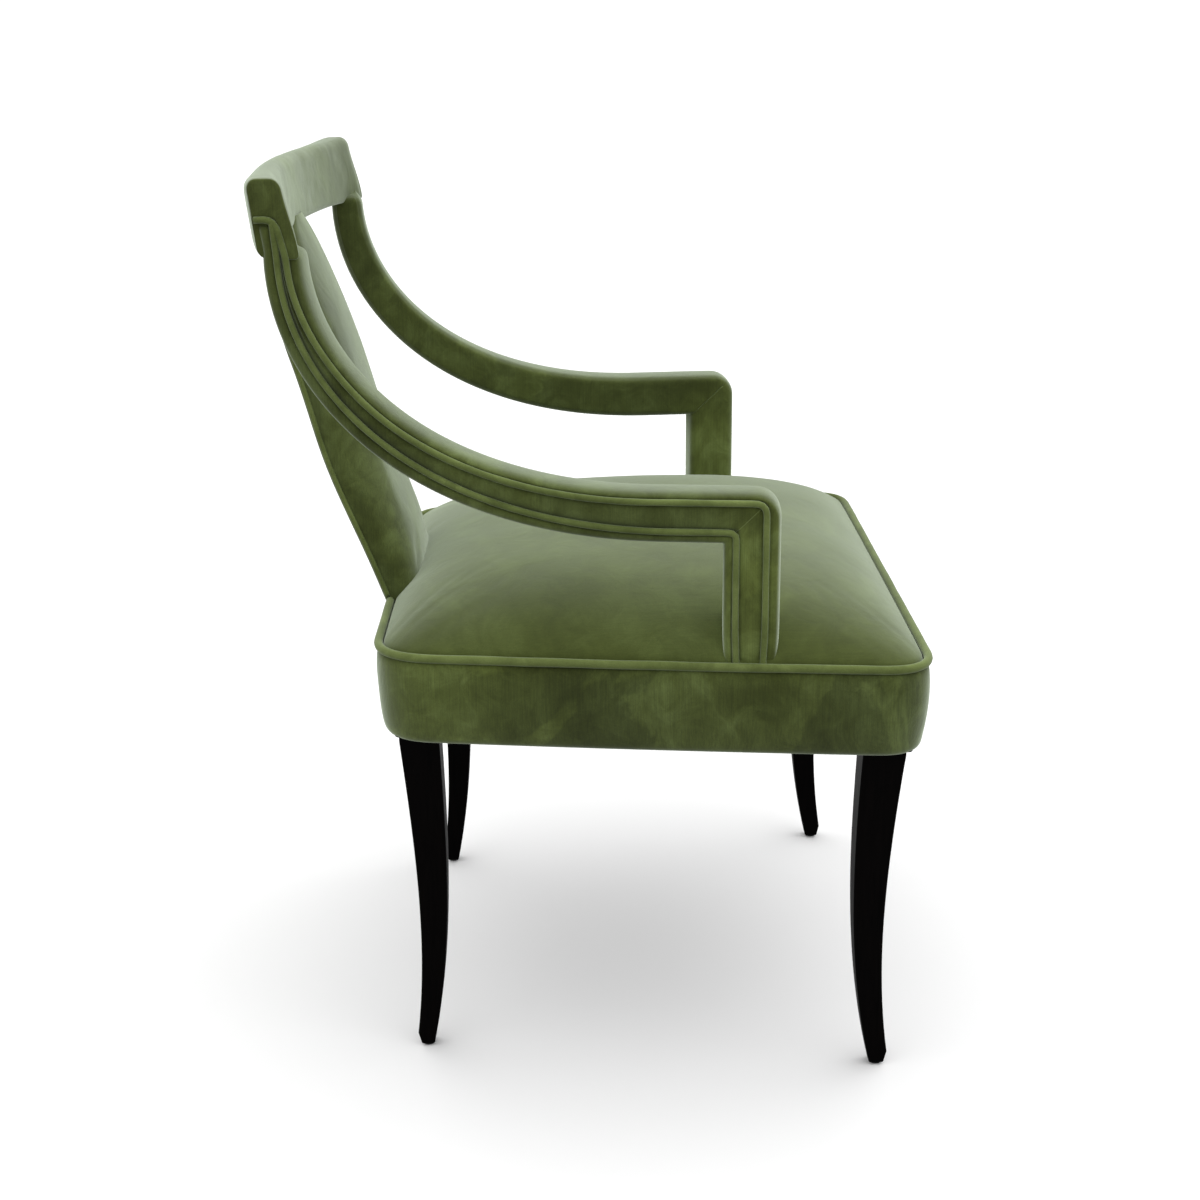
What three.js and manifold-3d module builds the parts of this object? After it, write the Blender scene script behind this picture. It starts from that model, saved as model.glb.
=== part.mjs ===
// Upholstered dining armchair: a padded seat on four sabre legs, two padded arms that sweep up into a bowed
// top rail, and a padded splat that stands free between them.
// Millimetres. +X is the sitter's left, -Y is the front, +Z is up, Z = 0 is the floor.
import * as THREE from "three";
import { mergeVertices } from "three/addons/utils/BufferGeometryUtils.js";
import Module from "manifold-3d";

// ---------- driving dimensions ----------
const GAP = 0.3; // clearance between touching pieces

// Seat: a trapezoid, wider at the front, with slightly bowed sides.
const SEAT_FRONT_Y = -323;
const SEAT_REAR_Y = 200;
const SEAT_HALF_FRONT = 330.5; // half width where the side lines meet the front line
const SEAT_HALF_REAR = 269.5;
const SEAT_SIDE_BOW = 4;
const SEAT_CORNER = 52; // length of the rounded corner along each side
const INNER_CORNER = 8;
const SEAT_BOTTOM_Z = 350;
const SEAM_Z = 440; // height of the piping between the border and the top of the seat
const CROWN = 70; // rise of the seat's middle above the piping
const BORDER_THICKNESS = 14.6;
const BORDER_PROUD = 2; // the border stands this far outside the seat's outline at its top
const BORDER_TAPER = 3; // and leans in by this much at its bottom
const COVER_THICKNESS = 4;
const SEAT_PIPING_RADIUS = 4.2;

// Legs: square section, curved towards the front and the rear at the foot.
const LEG_TOP_Z = 431;
const LEG_FRONT = { x: 285, y: -275, waistZ: 185, sweep: 3.95e-4, depth: [19.5, 0.064] };
const LEG_REAR = { x: 230, y: 155.3, waistZ: 175, sweep: 3.5e-4, depth: [18, 0.0605] };
const LEG_SKEW = 6.5e-7; // makes the curve stronger at the foot than at the top
const LEG_STEP = 15; // height between two sections of the curve
const LEG_WIDTH_TOP = 38;
const LEG_WIDTH_FOOT = 18;
const GLIDE_HEIGHT = 2.2;

// Wooden seat frame.
const RAIL_THICKNESS = 26;
const RAIL_BOTTOM_Z = 360;
const RAIL_TOP_Z = 431;
const STRAP_WIDTH = 50;
const STRAP_THICKNESS = 1.4;

// Arms: one padded band in a plane that turns in towards the rear, drawn in side view as (y, z).
const ARM_PLANE_X = 294; // where the outer face crosses y = 0
const ARM_PLANE_SLOPE = -0.1; // how far the outer face moves per millimetre of y
const ARM_THICKNESS = 46;
const ARM_START = [-71.3, 579.4];
const ARM_PULL = [[149.6, 579.4], [264.8, 696.6]];
const ARM_TOP = [266.9, 812];
const ARM_WIDTHS = [46, 34.9, 30]; // band width at the front, along the sweep and at the top
const ARM_FULLNESS = 3.2; // the lower roll stands out by this much more along the sweep
const POST_FRONT_Y = -178;
const POST_REAR_Y = -127;
const POST_TUCK = 4; // the post narrows by this much on each edge where it enters the seat
const POST_FOOT_Z = 441;
const ARM_PADDING = 7;
const ARM_ROUNDING = 6;
const PIPING_RADIUS = 3.1;
const OUTER_PIPING_INSET = 7; // from the band's upper or front edge
const INNER_PIPING_INSET = 11.5; // from the band's lower or rear edge
const POST_ROLL = 5; // the outer piping lies this much further in on the post
const PIPING_CLOSING = 4.5; // how much nearer the two pipings lie at the top

// Top rail: a bowed board under a cover.
const RAIL_BOTTOM = 811;
const RAIL_HEIGHT = 72;
const RAIL_DEPTH = 32;
const RAIL_FRONT_Y = 285.5; // front face at the middle
const RAIL_BOW = 4.6e-4; // forward curve of the face per square millimetre of x
const RAIL_LEAN = 0.12;
const RAIL_ROUNDING = 9;

// Splat: its middle line in side view, and its section.
const SPLAT_LINE = [[183, 443], [230, 574], [262, 690], [307, 823]];
const SPLAT_HALF_WIDTH = 95;
const SPLAT_FRONT = -20.5; // front face, from the middle line
const SPLAT_REAR = 22; // rear face at the foot
const SPLAT_SWELL = 4.5; // the rear face stands back by this much more at half height
const SPLAT_CLOSING = 11; // and closes in again by this much under the rail
const SPLAT_FOOT_Z = 445;
const ARCH_Z = 730; // the splat's sides are upright up to here, then close in an arch
const ARCH_HEIGHT = 92;

// ---------- finishes ----------
function finish(color, roughness, metalness = 0) {
  return new THREE.MeshStandardMaterial({ color, roughness, metalness });
}
const velvet = finish(0x5f6f43, 0.85);
const pipingVelvet = finish(0x6f7f4a, 0.8);
const lacquer = finish(0x0c0a0a, 0.25);
const beech = finish(0xc6a274, 0.6);
const webbing = finish(0x4b3b2b, 0.9);
const foam = finish(0xe6dcb4, 0.95);
const lining = finish(0x1b1b1b, 0.9);
const steel = finish(0xb4b8bc, 0.35, 1);
const nylon = finish(0x242424, 0.5);

// ---------- solid helpers ----------
const wasm = await Module();
wasm.setup();

function solid(geometry) {
  const bare = geometry.index ? geometry.toNonIndexed() : geometry.clone();
  bare.deleteAttribute("normal");
  bare.deleteAttribute("uv");
  const merged = mergeVertices(bare, 1e-3);
  return new wasm.Manifold(
    new wasm.Mesh({
      numProp: 3,
      vertProperties: merged.attributes.position.array,
      triVerts: new Uint32Array(merged.index.array),
    }),
  );
}

function geometryOf(manifold) {
  const mesh = manifold.getMesh();
  const geometry = new THREE.BufferGeometry();
  geometry.setAttribute("position", new THREE.BufferAttribute(mesh.vertProperties, 3));
  geometry.setIndex(new THREE.BufferAttribute(mesh.triVerts, 1));
  const flat = geometry.toNonIndexed();
  flat.computeVertexNormals();
  return flat;
}

function cut(geometry, ...tools) {
  let result = solid(geometry);
  for (const tool of tools) {
    result = result.subtract(solid(tool));
  }
  return geometryOf(result);
}

function join(geometry, ...others) {
  let result = solid(geometry);
  for (const other of others) {
    result = result.add(solid(other));
  }
  return geometryOf(result);
}

function keepInside(geometry, region) {
  return geometryOf(solid(geometry).intersect(solid(region)));
}

// The same solid on the other side of the chair.
function mirrored(geometry) {
  const copy = geometry.index ? geometry.toNonIndexed() : geometry.clone();
  copy.applyMatrix4(new THREE.Matrix4().makeScale(-1, 1, 1));
  const p = copy.attributes.position;
  for (let i = 0; i < p.count; i += 3) {
    const held = new THREE.Vector3().fromBufferAttribute(p, i + 1);
    const moved = new THREE.Vector3().fromBufferAttribute(p, i + 2);
    p.setXYZ(i + 1, moved.x, moved.y, moved.z);
    p.setXYZ(i + 2, held.x, held.y, held.z);
  }
  copy.computeVertexNormals();
  return copy;
}

function box(low, high) {
  const size = high.map((value, i) => value - low[i]);
  const geometry = new THREE.BoxGeometry(...size);
  geometry.translate(...low.map((value, i) => value + size[i] / 2));
  return geometry;
}

// A closed solid through a stack of rings, lowest ring first, each ring counter-clockwise from above.
function loft(rings) {
  const count = rings[0].length;
  const positions = [];
  const triangle = (a, b, c) => positions.push(...a.toArray(), ...b.toArray(), ...c.toArray());
  const middle = (ring) => ring.reduce((sum, p) => sum.add(p), new THREE.Vector3()).divideScalar(count);
  const bottom = middle(rings[0]);
  const top = middle(rings[rings.length - 1]);
  for (let i = 0; i < count; i += 1) {
    const j = (i + 1) % count;
    triangle(bottom, rings[0][j], rings[0][i]);
    triangle(top, rings[rings.length - 1][i], rings[rings.length - 1][j]);
    for (let k = 0; k + 1 < rings.length; k += 1) {
      triangle(rings[k][i], rings[k][j], rings[k + 1][j]);
      triangle(rings[k][i], rings[k + 1][j], rings[k + 1][i]);
    }
  }
  const geometry = new THREE.BufferGeometry();
  geometry.setAttribute("position", new THREE.Float32BufferAttribute(positions, 3));
  geometry.computeVertexNormals();
  return geometry;
}

// A round cord along a list of points.
function cordAlong(points, radius, steps = points.length - 1, sides = 6) {
  const path = new THREE.CatmullRomCurve3(points, false, "centripetal");
  const round = new THREE.Shape().absarc(0, 0, radius, 0, 2 * Math.PI);
  return new THREE.ExtrudeGeometry(round, { steps, curveSegments: sides / 2, bevelEnabled: false, extrudePath: path });
}

function cylinderBetween(from, to, radius, sides = 12) {
  const axis = new THREE.Vector3().subVectors(to, from);
  const geometry = new THREE.CylinderGeometry(radius, radius, axis.length(), sides);
  const turn = new THREE.Quaternion().setFromUnitVectors(new THREE.Vector3(0, 1, 0), axis.clone().normalize());
  geometry.applyQuaternion(turn);
  const centre = new THREE.Vector3().addVectors(from, to).multiplyScalar(0.5);
  geometry.translate(centre.x, centre.y, centre.z);
  return geometry;
}

const chair = new THREE.Group();

function add(name, geometry, material, parent = chair) {
  const mesh = new THREE.Mesh(geometry, material);
  mesh.name = name;
  parent.add(mesh);
  return mesh;
}

function addPair(name, geometry, material) {
  add(`${name}_left`, geometry, material);
  add(`${name}_right`, mirrored(geometry), material);
}

// ---------- seat outline ----------
function seatHalfWidth(y) {
  const along = (y - SEAT_FRONT_Y) / (SEAT_REAR_Y - SEAT_FRONT_Y);
  return SEAT_HALF_FRONT + (SEAT_HALF_REAR - SEAT_HALF_FRONT) * along + 4 * SEAT_SIDE_BOW * along * (1 - along);
}

// The seat's plan, moved inwards by inset; corner is how far each rounded corner reaches along its sides.
function seatShape(inset, corner = SEAT_CORNER - inset) {
  const front = SEAT_FRONT_Y + inset;
  const rear = SEAT_REAR_Y - inset;
  const side = (y) => seatHalfWidth(y) - inset;
  const reach = Math.max(corner, 3);
  const middle = (front + rear) / 2;
  const bulge = 2 * side(middle) - (side(front + reach) + side(rear - reach)) / 2;
  const shape = new THREE.Shape();
  shape.moveTo(-side(front) + reach, front);
  shape.lineTo(side(front) - reach, front);
  shape.quadraticCurveTo(side(front), front, side(front + reach), front + reach);
  shape.quadraticCurveTo(bulge, middle, side(rear - reach), rear - reach);
  shape.quadraticCurveTo(side(rear), rear, side(rear) - reach, rear);
  shape.lineTo(-side(rear) + reach, rear);
  shape.quadraticCurveTo(-side(rear), rear, -side(rear - reach), rear - reach);
  shape.quadraticCurveTo(-bulge, middle, -side(front + reach), front + reach);
  shape.quadraticCurveTo(-side(front), front, -side(front) + reach, front);
  return shape;
}

function seatRing(inset, z, corner = SEAT_CORNER - inset) {
  const points = seatShape(inset, corner).getPoints(5);
  if (points[0].distanceTo(points[points.length - 1]) < 1e-6) {
    points.pop();
  }
  return points.map((p) => new THREE.Vector3(p.x, p.y, z));
}

function seatPrism(inset, low, high) {
  return loft([seatRing(inset, low, INNER_CORNER), seatRing(inset, high, INNER_CORNER)]);
}

// ---------- seat piping, border and top ----------
// The piping runs once round the seat and its ends meet at the middle of the rear.
function seatPiping(radius) {
  const ring = seatShape(0).getSpacedPoints(80).slice(1).map((p) => new THREE.Vector3(p.x, p.y, SEAM_Z));
  const rear = ring.findIndex((p, i) => p.y > SEAT_REAR_Y - 1 && ring[(i + 1) % ring.length].x < 0 && p.x > 0);
  const ordered = [...ring.slice(rear + 1), ...ring.slice(0, rear + 1)];
  const start = new THREE.Vector3(-GAP, SEAT_REAR_Y, SEAM_Z);
  const end = new THREE.Vector3(GAP, SEAT_REAR_Y, SEAM_Z);
  return cordAlong([start, ...ordered, end], radius, 84);
}

function seatBorder() {
  const rounding = 11;
  const high = SEAM_Z - SEAT_PIPING_RADIUS - GAP;
  const rings = [];
  for (const turn of [0, 0.33, 0.67, 1]) {
    const angle = (turn * Math.PI) / 2;
    const inset = BORDER_TAPER - BORDER_PROUD + rounding * (1 - Math.sin(angle));
    rings.push(seatRing(inset, SEAT_BOTTOM_Z + rounding * (1 - Math.cos(angle))));
  }
  rings.push(seatRing(-BORDER_PROUD, high));
  const inside = seatPrism(BORDER_THICKNESS, SEAT_BOTTOM_Z - 1, high + 1);
  return cut(loft(rings), inside, ...armFootHoles());
}

// Height of the crown at a point, as a share of its height at the middle: fuller from side to side than from
// front to rear.
function crownShare(x, y, scale) {
  const middleY = (SEAT_FRONT_Y + SEAT_REAR_Y) / 2;
  const across = Math.min(1, Math.abs(x) / seatHalfWidth(y));
  const along = Math.min(1, Math.abs(y - middleY) / (SEAT_REAR_Y - middleY));
  return (1 - across ** 3) ** 0.55 * (1 - along ** 3) ** 0.7 * (1 - scale ** 24) ** 0.4;
}

// The crowned top: rings shrink towards the middle while they rise.
function seatDome(edgeInset, lower, base) {
  const rings = [seatRing(edgeInset, base)];
  const middleY = (SEAT_FRONT_Y + SEAT_REAR_Y) / 2;
  for (const scale of [1, 0.985, 0.95, 0.89, 0.78, 0.58, 0.3]) {
    const ring = seatRing(edgeInset, 0);
    for (const p of ring) {
      p.x *= scale;
      p.y = middleY + (p.y - middleY) * scale;
      p.z = SEAM_Z - 1 + (CROWN - lower) * crownShare(p.x, p.y, scale);
    }
    rings.push(ring);
  }
  return loft(rings);
}

// What passes through the seat: the arm posts and the splat.
function seatHoles() {
  const post = armPrism(armShape(-GAP, POST_FOOT_Z - 12, RAIL_BOTTOM + 10), GAP, -ARM_THICKNESS - GAP);
  const core = armPostCore(GAP);
  const splat = splatSlab(SPLAT_HALF_WIDTH + GAP, SPLAT_FRONT - GAP, SPLAT_REAR + 9, 0, 0.3, 12);
  return [post, mirrored(post), core, mirrored(core), splat, splatBoard(GAP)];
}

function seatTopCover() {
  const skin = seatDome(SEAT_PIPING_RADIUS + 1.6, 0, SEAM_Z - 4);
  return cut(skin, foamDome(GAP), ...seatHoles());
}

function foamDome(grow = 0) {
  const inset = SEAT_PIPING_RADIUS + 1.9 + COVER_THICKNESS - grow;
  return seatDome(inset, COVER_THICKNESS + GAP - grow, SEAM_Z - 3.8 - 20 * grow);
}

function seatFoam() {
  return cut(foamDome(), ...seatHoles());
}

// ---------- legs ----------
function legRing(leg, z, grow) {
  const [footDepth, depthRate] = leg.depth;
  const rise = Math.min(z, 345);
  const depth = footDepth + depthRate * rise;
  const front = Math.sign(leg.y);
  const fromWaist = rise - leg.waistZ;
  const y = leg.y + front * (leg.sweep * fromWaist ** 2 - LEG_SKEW * fromWaist ** 3);
  const width = LEG_WIDTH_FOOT + ((LEG_WIDTH_TOP - LEG_WIDTH_FOOT) * rise) / 345;
  const inner = leg.x - LEG_WIDTH_TOP / 2; // the inner side is upright, the outer side tapers
  const low = [inner - grow, y - depth / 2 - grow];
  const high = [inner + width + grow, y + depth / 2 + grow];
  return [
    new THREE.Vector3(low[0], low[1], z),
    new THREE.Vector3(high[0], low[1], z),
    new THREE.Vector3(high[0], high[1], z),
    new THREE.Vector3(low[0], high[1], z),
  ];
}

function legSolid(leg, grow = 0, low = GLIDE_HEIGHT + GAP, high = LEG_TOP_Z) {
  const steps = Array.from({ length: 23 }, (_, i) => (i + 1) * LEG_STEP);
  const heights = steps.filter((z) => z > low && z < high);
  const rings = [low, ...heights, high].map((z) => legRing(leg, z, grow));
  const outwards = Math.sign(leg.y); // the toe's lower outer edge is cut back
  for (const corner of rings[0]) {
    if (grow === 0 && (corner.y - leg.y) * outwards > 10) {
      corner.y -= outwards * 5;
    }
  }
  return loft(rings);
}

function glide(leg) {
  const ring = legRing(leg, GLIDE_HEIGHT, 0);
  const x = (ring[0].x + ring[1].x) / 2;
  const y = (ring[0].y + ring[2].y) / 2 - Math.sign(leg.y) * 2.5;
  const profile = [[0, 0], [6, 0], [6, GLIDE_HEIGHT], [0, GLIDE_HEIGHT]];
  const turned = new THREE.LatheGeometry(profile.map(([r, h]) => new THREE.Vector2(r, h)), 12);
  turned.rotateX(Math.PI / 2);
  turned.translate(x, y, 0);
  return turned;
}

// ---------- seat frame ----------
function legFaces(leg) {
  const ring = legRing(leg, 400, 0);
  return { inner: ring[0].x, outer: ring[1].x, front: ring[0].y, rear: ring[2].y };
}

function crossRail(leg) {
  const { inner, front, rear } = legFaces(leg);
  const outside = leg.y < 0 ? front : rear;
  const inside = outside - Math.sign(leg.y) * RAIL_THICKNESS;
  const half = inner - GAP;
  return box([-half, Math.min(outside, inside), RAIL_BOTTOM_Z], [half, Math.max(outside, inside), RAIL_TOP_Z]);
}

function sideRail(notch) {
  const a = legFaces(LEG_FRONT);
  const b = legFaces(LEG_REAR);
  const low = a.rear + GAP;
  const high = b.front - GAP;
  const plan = new THREE.Shape();
  plan.moveTo(a.outer - RAIL_THICKNESS, low);
  plan.lineTo(a.outer, low);
  plan.lineTo(b.outer, high);
  plan.lineTo(b.outer - RAIL_THICKNESS, high);
  plan.closePath();
  const rail = new THREE.ExtrudeGeometry(plan, { depth: RAIL_TOP_Z - RAIL_BOTTOM_Z, bevelEnabled: false });
  rail.translate(0, 0, RAIL_BOTTOM_Z);
  return cut(rail, notch);
}

// A triangular block screwed into the corner behind a leg.
function cornerBlock(leg) {
  const { inner, front, rear } = legFaces(leg);
  const towards = -Math.sign(leg.y);
  const y = leg.y < 0 ? rear : front;
  const start = new THREE.Vector2(inner - 2, y + towards * 2);
  const plan = new THREE.Shape();
  plan.moveTo(start.x, start.y);
  plan.lineTo(start.x - 52, start.y);
  plan.lineTo(start.x - 2, start.y + towards * 50);
  plan.closePath();
  const block = new THREE.ExtrudeGeometry(plan, { depth: 40, bevelEnabled: false });
  block.translate(0, 0, RAIL_BOTTOM_Z + 12);
  return cut(block, legBolt(leg, GAP));
}

// A bolt through the corner block into the leg.
function legBolt(leg, grow = 0) {
  const { inner, front, rear } = legFaces(leg);
  const towards = -Math.sign(leg.y);
  const z = RAIL_BOTTOM_Z + 32;
  const corner = new THREE.Vector3(inner, leg.y < 0 ? rear : front, z);
  const along = new THREE.Vector3(-1, towards, 0).normalize();
  const at = (distance) => corner.clone().addScaledVector(along, distance);
  const shank = cylinderBetween(at(-18), at(44), 3 + grow, 10);
  const head = cylinderBetween(at(42), at(48), 7 + grow, 6);
  return join(shank, head);
}

function strapAcross(y, z) {
  const half = seatHalfWidth(y) - 44;
  return box([-half, y - STRAP_WIDTH / 2, z], [half, y + STRAP_WIDTH / 2, z + STRAP_THICKNESS]);
}

function strapAlong(x, z) {
  const front = legFaces(LEG_FRONT).front + 2;
  const rear = legFaces(LEG_REAR).rear - 2;
  return box([x - STRAP_WIDTH / 2, front, z], [x + STRAP_WIDTH / 2, rear, z + STRAP_THICKNESS]);
}

function dustCover() {
  const sheet = seatPrism(BORDER_THICKNESS + GAP, SEAT_BOTTOM_Z + 3, SEAT_BOTTOM_Z + 4.5);
  const holes = [];
  for (const leg of [LEG_FRONT, LEG_REAR]) {
    const hole = legSolid(leg, 2, 340, 370);
    holes.push(hole, mirrored(hole));
  }
  return cut(sheet, ...holes);
}

// ---------- arms ----------
// Side-view coordinates (y, z) go onto the arm's own plane; depth 0 is its outer face, inwards is negative.
const armFrame = new THREE.Matrix4().makeBasis(
  new THREE.Vector3(ARM_PLANE_SLOPE, 1, 0).normalize(),
  new THREE.Vector3(0, 0, 1),
  new THREE.Vector3(1, -ARM_PLANE_SLOPE, 0).normalize(),
);
armFrame.setPosition(ARM_PLANE_X, 0, 0);

function onArm(y, z, depth = 0) {
  return new THREE.Vector3(y, z, depth).applyMatrix4(armFrame);
}

const armLine = new THREE.CubicBezierCurve(
  new THREE.Vector2(...ARM_START),
  new THREE.Vector2(...ARM_PULL[0]),
  new THREE.Vector2(...ARM_PULL[1]),
  new THREE.Vector2(...ARM_TOP),
);
const SWEEP_STEPS = 15;

function armWidth(t) {
  const [front, middle, top] = ARM_WIDTHS;
  return front * (1 - t) ** 2 + 2 * middle * t * (1 - t) + top * t * t;
}

// A line that follows the band; across is -1 on the lower edge, +1 on the upper edge, then moved by shift.
function bandEdge(across, shift = 0, fullness = across < 0 ? ARM_FULLNESS : 0) {
  const points = [];
  for (let i = 0; i <= SWEEP_STEPS; i += 1) {
    const t = i / SWEEP_STEPS;
    const tangent = armLine.getTangent(t);
    const normal = new THREE.Vector2(-tangent.y, tangent.x);
    const reach = (across * armWidth(t)) / 2 + shift - fullness * Math.min(1, 2.5 * t * (1.3 - t));
    points.push(armLine.getPoint(t).addScaledVector(normal, reach));
  }
  return points;
}

// The whole arm in side view, moved inwards by inset: post, rounded front corner, and sweep up to height top.
function armShape(inset, footZ, top) {
  const upper = bandEdge(1, -inset);
  const lower = bandEdge(-1, inset);
  const cornerZ = upper[0].y;
  const round = 24 - inset;
  const front = POST_FRONT_Y + inset;
  const rear = POST_REAR_Y - inset;
  const shape = new THREE.Shape();
  shape.moveTo(front + POST_TUCK, footZ);
  shape.lineTo(rear - POST_TUCK, footZ);
  shape.lineTo(rear, footZ + 30);
  shape.lineTo(rear, lower[0].y);
  lower.forEach((p) => shape.lineTo(p.x, p.y));
  shape.lineTo(lower[SWEEP_STEPS].x, top);
  shape.lineTo(upper[SWEEP_STEPS].x, top);
  [...upper].reverse().forEach((p) => shape.lineTo(p.x, p.y));
  shape.lineTo(front + round, cornerZ);
  shape.absarc(front + round, cornerZ - round, round, Math.PI / 2, Math.PI, false);
  shape.lineTo(front, footZ + 30);
  shape.closePath();
  return shape;
}

function armPrism(shape, outer, inner, rounding = 0) {
  const depth = outer - inner - 2 * rounding;
  const geometry = new THREE.ExtrudeGeometry(shape, {
    depth,
    curveSegments: 4,
    bevelEnabled: rounding > 0,
    bevelThickness: rounding,
    bevelSize: rounding,
    bevelOffset: -rounding,
    bevelSegments: 2,
  });
  geometry.translate(0, 0, inner + rounding);
  geometry.applyMatrix4(armFrame);
  return geometry;
}

const CORE_OUTER = -ARM_PADDING;
const CORE_INNER = -ARM_THICKNESS + ARM_PADDING;
const CORE_TOP = RAIL_BOTTOM + 6;
const CORE_JOINT_Z = 562; // top of the post core, under the sweep core
const ARM_BOLT_HEIGHTS = [380, 408];

// The sweep's wooden core, from above the post to the top rail.
function armSweepCore(grow = 0) {
  const inset = ARM_PADDING - grow;
  const shape = new THREE.Shape();
  const lower = bandEdge(-1, inset);
  const upper = bandEdge(1, -inset);
  const front = POST_FRONT_Y + inset;
  shape.moveTo(front, CORE_JOINT_Z + GAP + 2 - 3 * grow);
  lower.forEach((p) => shape.lineTo(p.x, Math.max(p.y, CORE_JOINT_Z + GAP + 2 - 3 * grow)));
  shape.lineTo(lower[SWEEP_STEPS].x, CORE_TOP + 2 * grow);
  shape.lineTo(upper[SWEEP_STEPS].x, CORE_TOP + 2 * grow);
  [...upper].reverse().forEach((p) => shape.lineTo(p.x, p.y));
  shape.lineTo(front + 12, upper[0].y);
  shape.lineTo(front, upper[0].y - 12);
  shape.closePath();
  return armPrism(shape, CORE_OUTER + grow, CORE_INNER - grow);
}

// The post's wooden core: thinner below the seat, where it is let into the side rail.
function armPostCore(grow = 0) {
  const inset = ARM_PADDING - grow;
  const front = POST_FRONT_Y + inset;
  const rear = POST_REAR_Y - inset;
  const rect = (low, high) => {
    const shape = new THREE.Shape();
    shape.moveTo(front, low);
    shape.lineTo(rear, low);
    shape.lineTo(rear, high);
    shape.lineTo(front, high);
    shape.closePath();
    return shape;
  };
  const upper = armPrism(rect(RAIL_TOP_Z + 12 - grow, CORE_JOINT_Z + grow), CORE_OUTER + grow, CORE_INNER - grow);
  const lower = armPrism(rect(RAIL_BOTTOM_Z + 2 - grow, RAIL_TOP_Z + 14), CORE_OUTER + grow, -24 - grow);
  return join(upper, lower);
}

function armBolt(z, grow = 0) {
  const y = (POST_FRONT_Y + POST_REAR_Y) / 2;
  const shank = cylinderBetween(onArm(y, z, -50), onArm(y, z, -10), 3 + grow, 10);
  const head = cylinderBetween(onArm(y, z, CORE_OUTER - 4), onArm(y, z, CORE_OUTER + 1.5), 7.5 + grow, 14);
  return join(shank, head);
}

// Lines of the two pipings on the outer face, in side view.
function pipingLine(edge, shift = 0) {
  const outer = edge === "outer";
  const inset = shift + (outer ? OUTER_PIPING_INSET : INNER_PIPING_INSET);
  const band = bandEdge(outer ? 1 : -1, outer ? -inset : inset, 0).reverse();
  const postY = outer ? POST_FRONT_Y + inset + POST_ROLL : POST_REAR_Y - inset;
  const cornerZ = band[SWEEP_STEPS].y;
  const round = outer ? 14 : 4;
  const line = band.map((p) => [p.x, p.y]);
  if (outer) {
    // near the top the strip between the pipings narrows towards the rear edge
    line.slice(0, 6).forEach((point, i) => (point[0] += PIPING_CLOSING * (1 - i / 6)));
  }
  line.push([postY + round, cornerZ], [postY + round * 0.3, cornerZ - round * 0.3], [postY, cornerZ - round]);
  line.push([postY, POST_FOOT_Z + 60], [postY, POST_FOOT_Z + 30]);
  line.push([postY + (outer ? POST_TUCK : -POST_TUCK), POST_FOOT_Z - 6]);
  line.unshift([line[0][0], RAIL_BOTTOM + 8]);
  return line;
}

function armPiping(edge, radius) {
  const points = pipingLine(edge).map(([y, z]) => onArm(y, z, 0.1));
  const cord = cordAlong(points, radius, 36);
  return keepInside(cord, box([0, -400, POST_FOOT_Z + 4], [400, 400, RAIL_BOTTOM - 1]));
}

// The region between the two piping lines in side view, narrowed by shift along both, without their first points.
function bandShape(shift, skip = 0) {
  const outer = pipingLine("outer", shift).slice(skip);
  const inner = pipingLine("inner", shift).slice(skip);
  return new THREE.Shape([...outer, ...inner.reverse()].map(([y, z]) => new THREE.Vector2(y, z)));
}

const STRIP_DEPTH = 3;
const PIPING_ROOM = PIPING_RADIUS + 1.6;

// The flat strip between the pipings; the cover has a channel for it and for both pipings.
function armStrip() {
  const strip = armPrism(bandShape(PIPING_ROOM, 4), -0.5, -STRIP_DEPTH);
  return keepInside(strip, box([0, -400, POST_FOOT_Z + 5], [400, 400, RAIL_BOTTOM]));
}

// The padded sleeve round the core: one piece over the inner face, the roll on top and the roll below.
function armCover() {
  const whole = armPrism(armShape(0, POST_FOOT_Z - 10, RAIL_BOTTOM + 10), 0, -ARM_THICKNESS, ARM_ROUNDING);
  const region = box([0, -400, POST_FOOT_Z], [400, 400, RAIL_BOTTOM - GAP]);
  const sleeve = keepInside(whole, region);
  const channel = armPrism(bandShape(-PIPING_ROOM), 1, -STRIP_DEPTH - GAP);
  const core = join(armSweepCore(GAP), armPostCore(GAP));
  return cut(sleeve, core, channel);
}

// Room for the posts' feet and their bolt heads inside the seat's border.
function armFootHoles() {
  const tools = [armPostCore(GAP), ...ARM_BOLT_HEIGHTS.map((z) => armBolt(z, GAP))];
  return [...tools, ...tools.map(mirrored)];
}

// ---------- top rail ----------
function railFront(x) {
  return RAIL_FRONT_Y - RAIL_BOW * x * x;
}

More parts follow.
